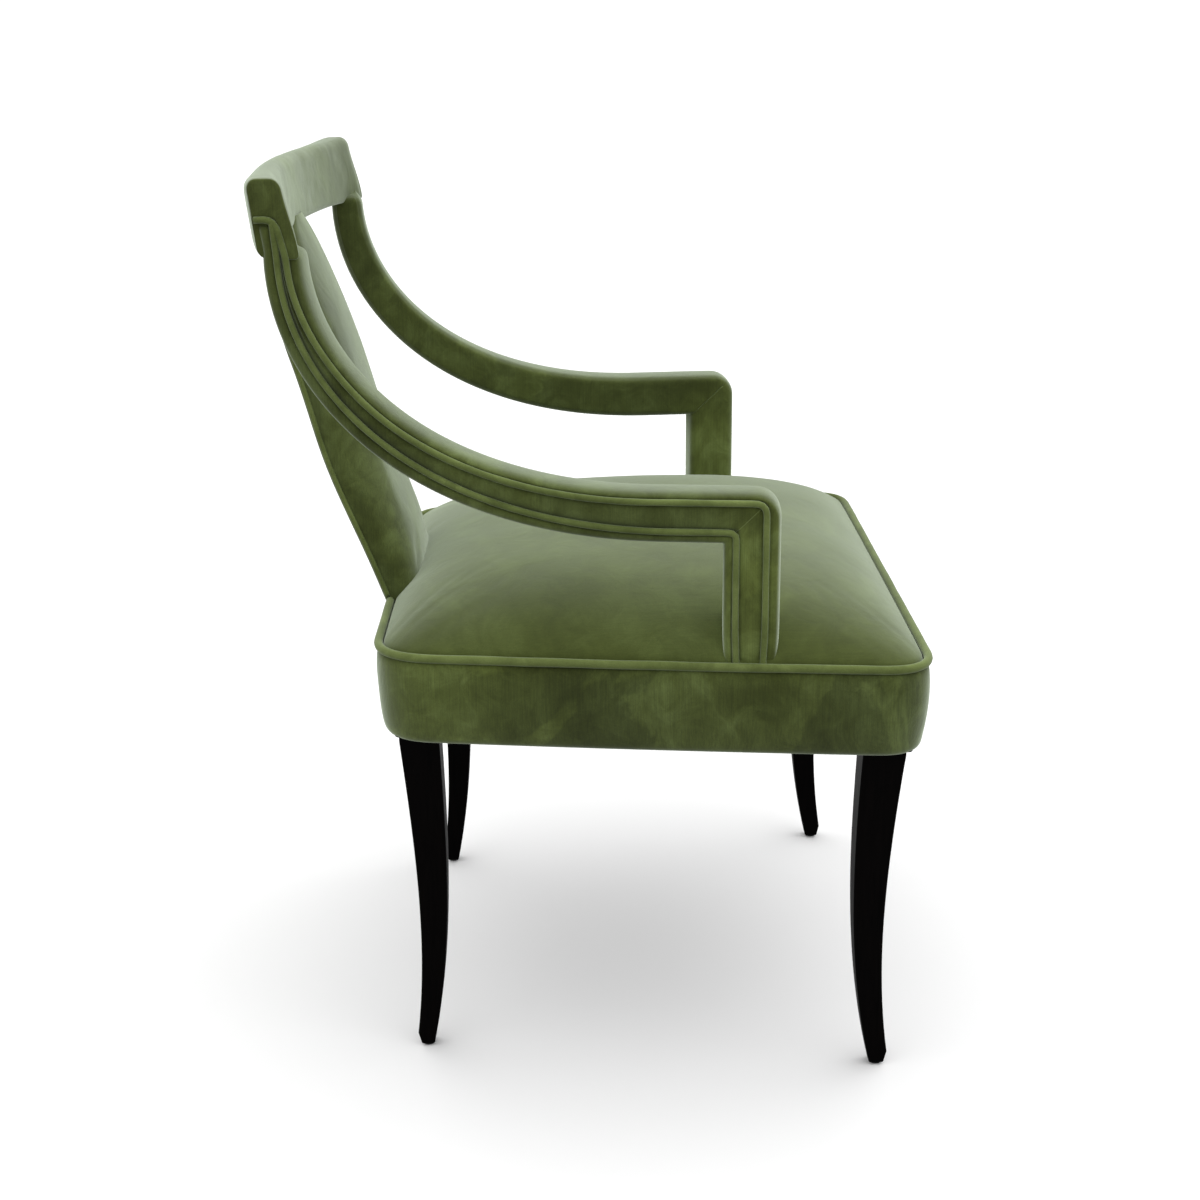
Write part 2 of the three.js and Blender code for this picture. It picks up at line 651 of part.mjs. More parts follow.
// A bowed bar in plan, with ends cut along the arms' outer planes.
function railBar(inset, low, high, rounding = 0) {
  const end = (y) => ARM_PLANE_X + ARM_PLANE_SLOPE * y - inset;
  const steps = 14;
  const shape = new THREE.Shape();
  const frontEnd = end(railFront(262));
  const rearEnd = end(railFront(262) + RAIL_DEPTH);
  for (let i = 0; i <= steps; i += 1) {
    const x = frontEnd * ((2 * i) / steps - 1);
    shape[i ? "lineTo" : "moveTo"](x, railFront(x) + inset);
  }
  for (let i = steps; i >= 0; i -= 1) {
    const x = rearEnd * ((2 * i) / steps - 1);
    shape.lineTo(x, railFront(x) + RAIL_DEPTH - inset);
  }
  shape.closePath();
  const bar = new THREE.ExtrudeGeometry(shape, {
    depth: high - low - 2 * rounding,
    bevelEnabled: rounding > 0,
    bevelThickness: rounding,
    bevelSize: rounding,
    bevelOffset: -rounding,
    bevelSegments: 3,
  });
  bar.translate(0, 0, low + rounding);
  const lean = new THREE.Matrix4().set(1, 0, 0, 0, 0, 1, RAIL_LEAN, -RAIL_LEAN * RAIL_BOTTOM, 0, 0, 1, 0, 0, 0, 0, 1);
  bar.applyMatrix4(lean);
  return bar;
}

const RAIL_CORE_LOW = CORE_TOP + 0.5;
const RAIL_COVER_THICKNESS = 4;
const RAIL_TOP_PADDING = 18;
const RAIL_CORE_HALF = 255; // the core stops short of the padded ends

function railCore(grow = 0) {
  const inset = RAIL_COVER_THICKNESS - grow;
  const half = RAIL_CORE_HALF + grow;
  const bar = railBar(inset, RAIL_CORE_LOW - grow, RAIL_BOTTOM + RAIL_HEIGHT - RAIL_TOP_PADDING + grow);
  return keepInside(bar, box([-half, 0, 0], [half, 400, 1000]));
}

// A dowel from each arm's core up into the rail.
function railDowel(grow = 0) {
  const at = (z) => onArm(ARM_TOP[0] + 4 + RAIL_LEAN * (z - RAIL_BOTTOM), z, -ARM_THICKNESS / 2);
  return cylinderBetween(at(795 - grow), at(842 + grow), 3.5 + grow, 8);
}

function railCover() {
  const whole = railBar(0, RAIL_BOTTOM, RAIL_BOTTOM + RAIL_HEIGHT, RAIL_ROUNDING);
  const core = armSweepCore(GAP);
  return cut(whole, railCore(GAP), core, mirrored(core), splatBoard(GAP));
}

// ---------- splat ----------
const splatLine = new THREE.CatmullRomCurve3(SPLAT_LINE.map(([y, z]) => new THREE.Vector3(0, y, z)));

// Half width of the splat at a height: straight, then closing in an arch that ends behind the rail.
function splatHalfWidth(z, half) {
  const rise = Math.max(0, (z - ARCH_Z) / ARCH_HEIGHT);
  return half * Math.sqrt(Math.max(0.1, 1 - rise ** 2));
}

function splatSwell(z) {
  const closing = SPLAT_CLOSING * THREE.MathUtils.smoothstep(z, 700, 811);
  return SPLAT_SWELL * THREE.MathUtils.smoothstep(z, 480, 620) - closing;
}

// A slab that follows the splat's line from t = from to t = to; front and back are offsets from the line.
function splatSlab(half, front, back, from, to, rounding) {
  const steps = 12;
  const rings = [];
  for (let i = 0; i <= steps; i += 1) {
    const t = from + ((to - from) * i) / steps;
    const centre = splatLine.getPoint(t);
    const tangent = splatLine.getTangent(t);
    const normal = new THREE.Vector3(0, tangent.z, -tangent.y); // towards the rear
    const wide = splatHalfWidth(centre.z, half);
    const rear = back > 5 ? back + splatSwell(centre.z) : back;
    const face = front > 5 ? front + splatSwell(centre.z) : front;
    const cornerSteps = rounding > 0 ? [0, 0.5, 1] : [0];
    const section = [];
    for (const side of [-1, 1]) {
      const turns = side < 0 ? cornerSteps : [...cornerSteps].reverse();
      for (const turn of turns) {
        const angle = (turn * Math.PI) / 2;
        const x = side * (wide - rounding * (1 - Math.cos(angle)));
        section.push([x, face + rounding * (1 - Math.sin(angle))]);
      }
    }
    section.push([wide, rear], [-wide, rear]);
    rings.push(section.map(([x, d]) => centre.clone().addScaledVector(normal, d).setX(x)));
  }
  return loft(rings);
}

const BOARD = { half: 78, front: -12, back: 3 };

function splatBoard(grow = 0) {
  const board = splatSlab(BOARD.half + grow, BOARD.front - grow, BOARD.back + grow, 0, 1, 0);
  const foot = box(
    [-BOARD.half - grow, 168 - grow, RAIL_TOP_Z + 5.6 - grow],
    [BOARD.half + grow, 184.5 + grow, RAIL_TOP_Z + 22],
  );
  return join(board, foot);
}

// Head room over the board's top end, in the top rail.
function boardPocket() {
  return box([-25.4, 291, 821.5], [25.4, 313, 827.4]);
}

const SPLAT_SEAM = 17; // the seam between the front and the rear cover lies this far behind the middle line
const splatRegion = box([-200, 0, SPLAT_FOOT_Z], [200, 400, RAIL_BOTTOM - GAP]);

function splatFrontPad() {
  const pad = splatSlab(SPLAT_HALF_WIDTH, SPLAT_FRONT, SPLAT_SEAM, 0, 1, 12);
  return cut(keepInside(pad, splatRegion), splatBoard(GAP), ...splatGrooves());
}

function splatBackPanel() {
  const panel = splatSlab(SPLAT_HALF_WIDTH - 1, SPLAT_SEAM + GAP, SPLAT_REAR, 0, 1, 0);
  return cut(keepInside(panel, splatRegion), ...splatGrooves());
}

// Piping up one side of the rear face, from the seat to the rail.
function splatPiping(radius) {
  const points = [];
  const steps = 12;
  for (let i = 0; i <= steps; i += 1) {
    const t = 0.03 + (0.93 * i) / steps;
    const tangent = splatLine.getTangent(t);
    const centre = splatLine.getPoint(t);
    const normal = new THREE.Vector3(0, tangent.z, -tangent.y);
    const seam = centre.clone().addScaledVector(normal, SPLAT_SEAM + 0.15 + splatSwell(centre.z));
    points.push(seam.setX(splatHalfWidth(centre.z, SPLAT_HALF_WIDTH)));
  }
  return cordAlong(points, radius, 22);
}

function splatGrooves() {
  const groove = splatPiping(PIPING_RADIUS + GAP);
  return [groove, mirrored(groove)];
}

// ---------- assembly ----------
for (const [row, leg] of [["front", LEG_FRONT], ["rear", LEG_REAR]]) {
  const bolt = legBolt(leg, GAP);
  addPair(`leg_${row}`, cut(legSolid(leg), bolt), lacquer);
  addPair(`glide_${row}`, glide(leg), nylon);
  addPair(`corner_block_${row}`, cornerBlock(leg), beech);
  addPair(`leg_bolt_${row}`, legBolt(leg), steel);
  add(`seat_rail_${row}`, crossRail(leg), beech);
}

const armBoltHoles = ARM_BOLT_HEIGHTS.map((z) => armBolt(z, GAP));
addPair("seat_rail_side", cut(sideRail(armPostCore(GAP)), ...armBoltHoles), beech);
addPair("arm_post_core", cut(armPostCore(), ...armBoltHoles), beech);
addPair("arm_sweep_core", cut(armSweepCore(), railDowel(GAP)), beech);
addPair("arm_bolt_lower", armBolt(ARM_BOLT_HEIGHTS[0]), steel);
addPair("arm_bolt_upper", armBolt(ARM_BOLT_HEIGHTS[1]), steel);
addPair("rail_dowel", railDowel(), beech);

const strapLevel = RAIL_TOP_Z + GAP;
[-210, -100, 10].forEach((y, i) => add(`web_strap_across_${i + 1}`, strapAcross(y, strapLevel), webbing));
[-110, 0, 110].forEach((x, i) => {
  add(`web_strap_along_${i + 1}`, strapAlong(x, strapLevel + STRAP_THICKNESS + GAP), webbing);
});

add("seat_foam", seatFoam(), foam);
add("seat_top_cover", seatTopCover(), velvet);
add("seat_border_cover", seatBorder(), velvet);
add("seat_piping", seatPiping(SEAT_PIPING_RADIUS), pipingVelvet);
add("dust_cover", dustCover(), lining);

addPair("arm_cover", armCover(), velvet);
addPair("arm_strip", armStrip(), velvet);
addPair("arm_piping_outer", armPiping("outer", PIPING_RADIUS), pipingVelvet);
addPair("arm_piping_inner", armPiping("inner", PIPING_RADIUS), pipingVelvet);

const dowel = railDowel(GAP);
add("top_rail_core", cut(railCore(), dowel, mirrored(dowel), splatBoard(GAP), boardPocket()), beech);
add("top_rail_cover", railCover(), velvet);
add("splat_board", splatBoard(), beech);
add("splat_front_pad", splatFrontPad(), velvet);
add("splat_back_panel", splatBackPanel(), velvet);
addPair("splat_piping", splatPiping(PIPING_RADIUS), pipingVelvet);

export default chair;
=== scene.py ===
"""Upholstered dining armchair: covers, piping, finishes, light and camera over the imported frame."""

import math

import bpy
import numpy as np
from mathutils import Matrix, Vector, noise


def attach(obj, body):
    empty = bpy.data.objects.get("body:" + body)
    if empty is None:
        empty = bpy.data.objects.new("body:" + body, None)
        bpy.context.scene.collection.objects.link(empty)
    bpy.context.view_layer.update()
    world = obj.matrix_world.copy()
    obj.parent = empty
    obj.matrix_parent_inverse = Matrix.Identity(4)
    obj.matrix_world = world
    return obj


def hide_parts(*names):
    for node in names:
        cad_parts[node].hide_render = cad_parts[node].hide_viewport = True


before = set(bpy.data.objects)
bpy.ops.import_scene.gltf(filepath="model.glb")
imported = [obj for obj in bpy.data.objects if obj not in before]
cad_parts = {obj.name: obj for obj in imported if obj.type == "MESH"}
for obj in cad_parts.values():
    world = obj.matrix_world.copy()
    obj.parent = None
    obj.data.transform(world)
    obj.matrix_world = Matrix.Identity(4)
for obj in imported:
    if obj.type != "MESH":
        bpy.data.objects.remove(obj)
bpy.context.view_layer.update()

MM = 0.001
scene = bpy.context.scene

# ---------- dimensions in millimetres, most of them shared with the frame ----------
SEAT_FRONT_Y, SEAT_REAR_Y = -323.0, 200.0
SEAT_MIDDLE_Y = (SEAT_FRONT_Y + SEAT_REAR_Y) / 2
SEAT_HALF_FRONT, SEAT_HALF_REAR = 330.5, 269.5
SEAT_SIDE_BOW, SEAT_CORNER = 4.0, 52.0
SEAM_Z, CROWN = 440.0, 70.0
SEAT_PIPING = 4.2

ARM_PLANE_X, ARM_PLANE_SLOPE, ARM_THICKNESS = 294.0, -0.1, 46.0
ARM_LINE = [(-71.3, 579.4), (149.6, 579.4), (264.8, 696.6), (266.9, 812.0)]
ARM_WIDTHS = (46.0, 34.9, 30.0)
ARM_FULLNESS = 3.2
POST_FRONT_Y, POST_REAR_Y, POST_TUCK, POST_FOOT_Z = -178.0, -127.0, 4.0, 441.0
OUTER_INSET, INNER_INSET, POST_ROLL = 7.0, 11.5, 5.0
ARM_PIPING, ARM_SEAM = 3.1, 0.9

RAIL_BOTTOM, RAIL_HEIGHT, RAIL_DEPTH = 811.0, 67.0, 32.0
RAIL_FRONT_Y, RAIL_BOW, RAIL_LEAN = 285.5, 4.6e-4, 0.12
RAIL_END_X = 262.0

SPLAT_LINE = [(183.0, 443.0), (230.0, 574.0), (262.0, 690.0), (307.0, 823.0)]
SPLAT_HALF, SPLAT_REAR, SPLAT_SEAM = 95.0, 22.0, 17.0
SPLAT_FOOT_Y, SPLAT_PIPING = 165.0, 2.6
ARCH_Z, ARCH_HEIGHT = 730.0, 92.0

# ---------- camera, in metres and degrees ----------
CAMERA_PLACE, CAMERA_YAW, CAMERA_PITCH = (-1.9688, 0.0071, 1.03), 2.285, 17.526
CAMERA_LENS, CAMERA_SHIFT = 57.0, -1.0 / 24.0

# ---------- studio: strengths of the light, and where each soft source stands ----------
SKY, OVERHEAD = 0.31, 1.36
KEY_DIRECTION, KEY_SHARPNESS, KEY_STRENGTH = (0.25, -0.80, 0.75), 6.0, 0.85
RIM_DIRECTION, RIM_SHARPNESS, RIM_STRENGTH = (0.9, 0.35, 0.45), 5.0, 0.65


# ---------- materials ----------
def grey(tone):
    return (tone, tone, tone)


class Nodes:
    """Small helper for building a node tree."""

    def __init__(self, tree):
        self.tree = tree

    def new(self, kind, **values):
        """A node with its inputs, or its own settings, set by name."""
        node = self.tree.nodes.new(kind)
        for key, value in values.items():
            if key in node.inputs:
                node.inputs[key].default_value = value
            else:
                setattr(node, key, value)
        return node

    def link(self, source, target):
        self.tree.links.new(source, target)

    def math(self, operation, first, second=0.0):
        node = self.new("ShaderNodeMath", operation=operation)
        for socket, value in zip(node.inputs, (first, second)):
            if isinstance(value, (int, float)):
                socket.default_value = value
            else:
                self.link(value, socket)
        return node.outputs[0]


class Finish(Nodes):
    """A material's node tree, with its shader and the place in object coordinates, in metres."""

    def __init__(self, name):
        self.material = bpy.data.materials.new(name)
        self.material.use_nodes = True
        super().__init__(self.material.node_tree)
        self.shader = self.tree.nodes["Principled BSDF"]
        self.position = self.new("ShaderNodeTexCoord").outputs["Object"]

    def mapped(self, scale):
        node = self.new("ShaderNodeMapping", Scale=scale)
        self.link(self.position, node.inputs["Vector"])
        return node.outputs["Vector"]

    def noise(self, vector, scale, detail, roughness, distortion=0.0):
        node = self.new("ShaderNodeTexNoise", Scale=scale, Detail=detail)
        node.inputs["Roughness"].default_value = roughness
        node.inputs["Distortion"].default_value = distortion
        self.link(vector, node.inputs["Vector"])
        return node.outputs["Fac"]

    def ramp(self, factor, *stops):
        """Colours between (place, colour) stops."""
        node = self.new("ShaderNodeValToRGB")
        elements = node.color_ramp.elements
        while len(elements) < len(stops):
            elements.new(0.5)
        for element, (place, colour) in zip(elements, stops):
            element.position = place
            element.color = (*colour, 1.0)
        self.link(factor, node.inputs["Fac"])
        return node.outputs["Color"]

    def mix(self, factor, first, second, blend="MIX"):
        node = self.new("ShaderNodeMix", data_type="RGBA", blend_type=blend)
        sockets = (node.inputs[0], node.inputs[6], node.inputs[7])  # the colour mode's factor, A and B
        for socket, value in zip(sockets, (factor, first, second)):
            if isinstance(value, (int, float)):
                socket.default_value = value
            elif isinstance(value, tuple):
                socket.default_value = (*value, 1.0)
            else:
                self.link(value, socket)
        return node.outputs[2]

    def zone(self, *limits):
        """Mask from (axis, from, to) limits: 0 before the first, 1 past the second, all multiplied."""
        parts = self.new("ShaderNodeSeparateXYZ")
        self.link(self.position, parts.inputs[0])
        total = 1.0
        for axis, first, second in limits:
            ease = self.new("ShaderNodeMapRange", interpolation_type="SMOOTHSTEP")
            ease.inputs["From Min"].default_value = first
            ease.inputs["From Max"].default_value = second
            self.link(parts.outputs[axis], ease.inputs["Value"])
            total = self.math("MULTIPLY", total, ease.outputs["Result"])
        return total

    def bump(self, height, strength, distance, under=None):
        node = self.new("ShaderNodeBump", Strength=strength, Distance=distance)
        self.link(height, node.inputs["Height"])
        if under is not None:
            self.link(under, node.inputs["Normal"])
        return node.outputs["Normal"]


def set_shader(build, **values):
    """Sets the shader's own sockets; an underscore in a name stands for a space."""
    for key, value in values.items():
        socket = build.shader.inputs[key.replace("_", " ")]
        socket.default_value = (*value, 1.0) if isinstance(value, tuple) and len(value) == 3 else value


def velvet(name, tones, streaks, seed, blotch=1.0, patch=0.8, calm=1.0, sheen=1.0, painted_light_zones=()):
    """Short-pile velvet: nap brushed this way and that, faint pile lines, fine pile grain, soft sheen.

    tones are the nap's dark, middle and light colours, and calm is how far they part from the middle.
    streaks is the scale of the pile lines along x, y and z, and blotch the strength of lines and relief.
    patch is the tone of the brushed patches. A zone of painted light is a gain followed by its limits.
    """
    build = Finish(name)
    dark, middle, light = tones
    shifted = build.new("ShaderNodeMapping", Location=(seed, seed * 0.7, -seed))
    build.link(build.position, shifted.inputs["Vector"])
    place = shifted.outputs["Vector"]
    broad = build.noise(place, 9.0, 3.0, 0.55, 0.6)
    marks = build.noise(place, 24.0, 5.0, 0.62, 1.4)
    fine = build.noise(place, 1500.0, 2.0, 0.6)
    lines = build.noise(build.mapped(streaks), 1.0, 3.0, 0.6)
    nap = build.math("ADD", build.math("MULTIPLY", broad, 0.55), build.math("MULTIPLY", marks, 0.45))
    colour = build.ramp(nap, (0.36, dark), (0.5, middle), (0.64, light))
    colour = build.mix(calm, middle, colour)
    brushed = build.noise(place, 5.5, 5.0, 0.6, 1.1)
    edge = build.ramp(brushed, (0.485, grey(0.0)), (0.525, grey(1.0)))
    colour = build.mix(edge, colour, build.mix(1.0, colour, grey(patch), "MULTIPLY"))
    pile_lines = build.ramp(lines, (0.35, grey(0.25)), (0.65, grey(0.9)))
    colour = build.mix(0.16 * blotch, colour, pile_lines, "OVERLAY")
    pile_grain = build.ramp(fine, (0.35, grey(0.2)), (0.65, grey(0.85)))
    colour = build.mix(0.22, colour, pile_grain, "OVERLAY")
    # painted light: each zone lightens the nap's colour by its gain
    for gain, *limits in painted_light_zones:
        colour = build.mix(build.zone(*limits), colour, grey(gain), "MULTIPLY")
    build.link(colour, build.shader.inputs["Base Color"])
    rough = build.ramp(marks, (0.3, grey(0.78)), (0.7, grey(0.92)))
    build.link(rough, build.shader.inputs["Roughness"])
    soft = build.bump(nap, 0.35 * blotch, 0.004)
    pile = build.bump(fine, 0.25, 0.0004, soft)
    build.link(pile, build.shader.inputs["Normal"])
    set_shader(build, Specular_IOR_Level=0.12, Sheen_Weight=sheen, Sheen_Roughness=0.42)
    set_shader(build, Sheen_Tint=(0.84, 0.95, 0.78))
    return build.material


GREEN = ((0.045, 0.057, 0.010), (0.073, 0.093, 0.021), (0.118, 0.152, 0.044))
# painted highlight: the pipings' velvet is lighter than the cover's, standing in for the light on their
# round tops and for the sheen taken off them
PIPING_GREEN_PAINTED_HIGHLIGHT = ((0.085, 0.110, 0.028), (0.125, 0.160, 0.045), (0.175, 0.220, 0.068))
UPWARDS, ALONG_Y, EVERY_WAY = (900.0, 900.0, 14.0), (900.0, 22.0, 900.0), (600.0, 600.0, 600.0)
UP_BORDER = (700.0, 700.0, 20.0)

# painted light: the arm posts, the arms' front corners and the border's rear are made lighter by a gain on
# their colour
POST_PAINTED_LIGHT = (1.75, ("Y", -0.095, -0.135), ("Z", 0.60, 0.54))
CORNER_PAINTED_LIGHT = (1.15, ("Y", -0.105, -0.15), ("Z", 0.55, 0.59))
BORDER_PAINTED_LIGHT = (1.75, ("Y", -0.02, 0.16))

velvet_up = velvet("velvet_upright", GREEN, UPWARDS, 1.3, painted_light_zones=(POST_PAINTED_LIGHT, CORNER_PAINTED_LIGHT))
velvet_seat = velvet("velvet_seat", GREEN, ALONG_Y, 4.1, blotch=0.6, patch=0.93, calm=0.55, sheen=0.85)
velvet_border = velvet("velvet_border", GREEN, UP_BORDER, 7.7, blotch=1.3, patch=0.72, painted_light_zones=(BORDER_PAINTED_LIGHT,))
velvet_piping = velvet("velvet_piping", PIPING_GREEN_PAINTED_HIGHLIGHT, EVERY_WAY, 2.2, blotch=0.4, patch=0.92, sheen=0.45)


def lacquer_finish():
    """Black lacquer over close-grained wood, whose grain barely telegraphs."""
    build = Finish("black_lacquer")
    grain = build.noise(build.mapped((60.0, 60.0, 4.0)), 5.0, 6.0, 0.65, 0.4)
    specks = build.noise(build.position, 320.0, 3.0, 0.5)
    colour = build.ramp(grain, (0.3, (0.0008, 0.0006, 0.0006)), (0.7, (0.0022, 0.0015, 0.0014)))
    build.link(colour, build.shader.inputs["Base Color"])
    rough = build.ramp(grain, (0.3, grey(0.30)), (0.7, grey(0.42)))
    build.link(rough, build.shader.inputs["Roughness"])
    normal = build.bump(grain, 0.12, 0.0006, build.bump(specks, 0.08, 0.0002))
    build.link(normal, build.shader.inputs["Normal"])
    set_shader(build, Specular_IOR_Level=0.035)
    return build.material


def wood_finish():
    """Planed beech: long grain, short darker flecks."""
    build = Finish("beech")
    grain = build.noise(build.mapped((30.0, 30.0, 30.0)), 3.0, 6.0, 0.6, 1.2)
    flecks = build.noise(build.mapped((260.0, 260.0, 40.0)), 3.0, 2.0, 0.5)
    colour = build.ramp(grain, (0.3, (0.42, 0.24, 0.12)), (0.7, (0.62, 0.40, 0.22)))
    fleck_tone = build.ramp(flecks, (0.42, grey(0.3)), (0.6, grey(0.7)))
    colour = build.mix(0.25, colour, fleck_tone, "OVERLAY")
    build.link(colour, build.shader.inputs["Base Color"])
    build.link(build.bump(grain, 0.15, 0.0005), build.shader.inputs["Normal"])
    build.link(build.ramp(flecks, (0.3, grey(0.5)), (0.7, grey(0.65))), build.shader.inputs["Roughness"])
    set_shader(build, Specular_IOR_Level=0.35)
    return build.material


def grainy_finish(name, dark, light, scale, rough, depth, metallic=0.0, stretch=1.0):
    """A plain material with its own grain: foam cells, turned steel, moulded nylon."""
    build = Finish(name)
    grain = build.noise(build.mapped((1.0, 1.0, stretch)), scale, 4.0, 0.6)
    broad = build.noise(build.position, 14.0, 3.0, 0.5)
    both = build.math("ADD", build.math("MULTIPLY", grain, 0.65), build.math("MULTIPLY", broad, 0.35))
    build.link(build.ramp(both, (0.36, dark), (0.64, light)), build.shader.inputs["Base Color"])
    low, high = max(rough - 0.06, 0.05), min(rough + 0.06, 1.0)
    build.link(build.ramp(grain, (0.35, grey(low)), (0.65, grey(high))), build.shader.inputs["Roughness"])
    build.link(build.bump(grain, 0.4, depth), build.shader.inputs["Normal"])
    set_shader(build, Metallic=metallic, Specular_IOR_Level=0.3)
    return build.material


def woven_finish(name, dark, light, threads):
    """A plain weave: two sets of threads that pass over and under."""
    build = Finish(name)
    waves = []
    for direction in ("X", "Y"):
        wave = build.new("ShaderNodeTexWave", Scale=threads, Distortion=0.4, bands_direction=direction)
        wave.inputs["Detail"].default_value = 1.0
        build.link(build.position, wave.inputs["Vector"])
        waves.append(wave.outputs["Fac"])
    weave = build.math("MULTIPLY", *waves)
    worn = build.noise(build.position, 30.0, 4.0, 0.6)
    both = build.math("ADD", build.math("MULTIPLY", weave, 0.6), build.math("MULTIPLY", worn, 0.4))
    build.link(build.ramp(both, (0.2, dark), (0.7, light)), build.shader.inputs["Base Color"])
    build.link(build.bump(weave, 0.5, 0.0005), build.shader.inputs["Normal"])
    build.link(build.ramp(worn, (0.3, grey(0.8)), (0.7, grey(0.95))), build.shader.inputs["Roughness"])
    set_shader(build, Specular_IOR_Level=0.2)
    return build.material


lacquer = lacquer_finish()
beech = wood_finish()
foam = grainy_finish("foam", (0.66, 0.58, 0.36), (0.80, 0.73, 0.50), 900.0, 0.95, 0.0008)
webbing = woven_finish("webbing", (0.035, 0.024, 0.016), (0.10, 0.075, 0.05), 220.0)
lining = woven_finish("lining", grey(0.006), grey(0.020), 420.0)
steel = grainy_finish("steel", (0.42, 0.43, 0.44), (0.60, 0.61, 0.62), 700.0, 0.34, 0.0002, 1.0, 0.15)
nylon = grainy_finish("nylon", grey(0.012), grey(0.026), 500.0, 0.5, 0.0002)


# ---------- mesh helpers ----------
def make_object(name, points, faces, material):
    """A smooth-shaded mesh object from points in millimetres."""
    mesh = bpy.data.meshes.new(name)
    mesh.from_pydata([tuple(MM * c for c in p) for p in points], [], faces)
    mesh.validate()
    mesh.update()
    for polygon in mesh.polygons:
        polygon.use_smooth = True
    mesh.materials.append(material)
    piece = bpy.data.objects.new(name, mesh)
    scene.collection.objects.link(piece)
    return piece


def grid_faces(rows, columns, closed):
    """Quads of a grid of rows x columns; closed joins the last column to the first."""
    faces = []
    for i in range(rows - 1):
        for j in range(columns if closed else columns - 1):
            k = (j + 1) % columns
            faces.append((i * columns + j, i * columns + k, (i + 1) * columns + k, (i + 1) * columns + j))
    return faces


def capped(faces, rows, columns):
    """The faces with one more over the first row and one over the last."""
    return faces + [tuple(reversed(range(columns))), tuple(range((rows - 1) * columns, rows * columns))]


def flip(faces):
    return [tuple(reversed(f)) for f in faces]


def mirror(points):
    return [(-x, y, z) for x, y, z in points]


def smooth_step(a, b, x):
    """0 at a, 1 at b, eased at both ends; a may be the larger of the two."""
    t = min(1.0, max(0.0, (x - a) / (b - a)))
    return t * t * (3 - 2 * t)


def resample(points, count, closed=False):
    """The polyline again, as count points at even steps."""
    p = np.array(points, float)
    if closed:
        p = np.vstack([p, p[:1]])
    lengths = np.concatenate([[0], np.cumsum(np.linalg.norm(np.diff(p, axis=0), axis=1))])
    at = np.linspace(0, lengths[-1], count + 1 if closed else count)
    out = np.stack([np.interp(at, lengths, p[:, k]) for k in range(p.shape[1])], 1)
    return out[:-1] if closed else out


def smoothed(points, rounds):
    """Evens out the corners of an open polyline, whose ends stay."""
    p = np.array(points, float)
    for _ in range(rounds):
        q = (np.roll(p, 1, 0) + 2 * p + np.roll(p, -1, 0)) / 4
        q[0], q[-1] = p[0], p[-1]
        p = q
    return p


def tube(name, points, radius, wobble, sides=12):
    """A round welt along points, with capped ends and a slight hand-sewn wobble."""
    p = np.array(points, float)
    count = len(p)
    ahead = np.roll(p, -1, 0) - np.roll(p, 1, 0)
    ahead[0], ahead[-1] = p[1] - p[0], p[-1] - p[-2]
    ahead /= np.linalg.norm(ahead, axis=1)[:, None]
    side = np.cross(ahead[0], (0.0, 0.0, 1.0))
    if np.linalg.norm(side) < 0.1:  # the line starts straight up
        side = np.cross(ahead[0], (1.0, 0.0, 0.0))
    vertices = []
    for i in range(count):
        side = side - ahead[i] * side.dot(ahead[i])
        side /= np.linalg.norm(side)
        up = np.cross(side, ahead[i])
        grow = 1.0 + wobble * noise.noise(Vector(p[i] * 0.035))
        for k in range(sides):
            angle = 2 * math.pi * k / sides
            vertices.append(tuple(p[i] + radius * grow * (math.cos(angle) * side + math.sin(angle) * up)))
    faces = capped(grid_faces(count, sides, True), count, sides)
    return make_object(name, vertices, faces, velvet_piping)


def subdivide(piece):
    modifier = piece.modifiers.new("Subdivision", "SUBSURF")
    modifier.levels = 1
    modifier.render_levels = 1
    return piece


def placed(piece, slot, *replaced, fill=None):
    """Every piece rides on the one body; fill is not used."""
    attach(piece, "root")
    if replaced:
        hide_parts(*replaced)


def coordinates(piece):
    """The mesh's points in metres, one row each."""
    values = np.zeros(len(piece.data.vertices) * 3)
    piece.data.vertices.foreach_get("co", values)
    return values.reshape(-1, 3)


def set_coordinates(piece, values):
    piece.data.vertices.foreach_set("co", np.asarray(values, float).reshape(-1))
    piece.data.update()


def stretch_cover(piece, held, pressure, cap, stiffness=18.0):
    """Cloth under pressure from inside, sewn down where held; no point moves further than cap metres."""
    start = coordinates(piece)
    group = piece.vertex_groups.new(name="sewn")
    group.add(held, 1.0, "REPLACE")
    modifier = piece.modifiers.new("Cloth", "CLOTH")
    cloth = modifier.settings
    cloth.quality = 7
    cloth.mass = 0.25  # kilograms a vertex
    cloth.tension_stiffness = stiffness
    cloth.compression_stiffness = stiffness
    cloth.shear_stiffness = stiffness * 0.4
    cloth.bending_stiffness = 1.5
    cloth.vertex_group_mass = "sewn"
    cloth.use_pressure = True
    cloth.uniform_pressure_force = pressure
    cloth.effector_weights.gravity = 0.0
    frames = 20
    modifier.point_cache.frame_end = frames
    for number in range(1, frames + 1):
        scene.frame_set(number)
    shaped = piece.evaluated_get(bpy.context.evaluated_depsgraph_get())
    moved = np.zeros(len(shaped.data.vertices) * 3)
    shaped.data.vertices.foreach_get("co", moved)
    moved = moved.reshape(-1, 3)
    piece.modifiers.remove(modifier)
    scene.frame_set(1)
    step = moved - start
    length = np.linalg.norm(step, axis=1)
    limit = np.minimum(1.0, cap / np.maximum(length, 1e-9))
    set_coordinates(piece, start + step * limit[:, None])


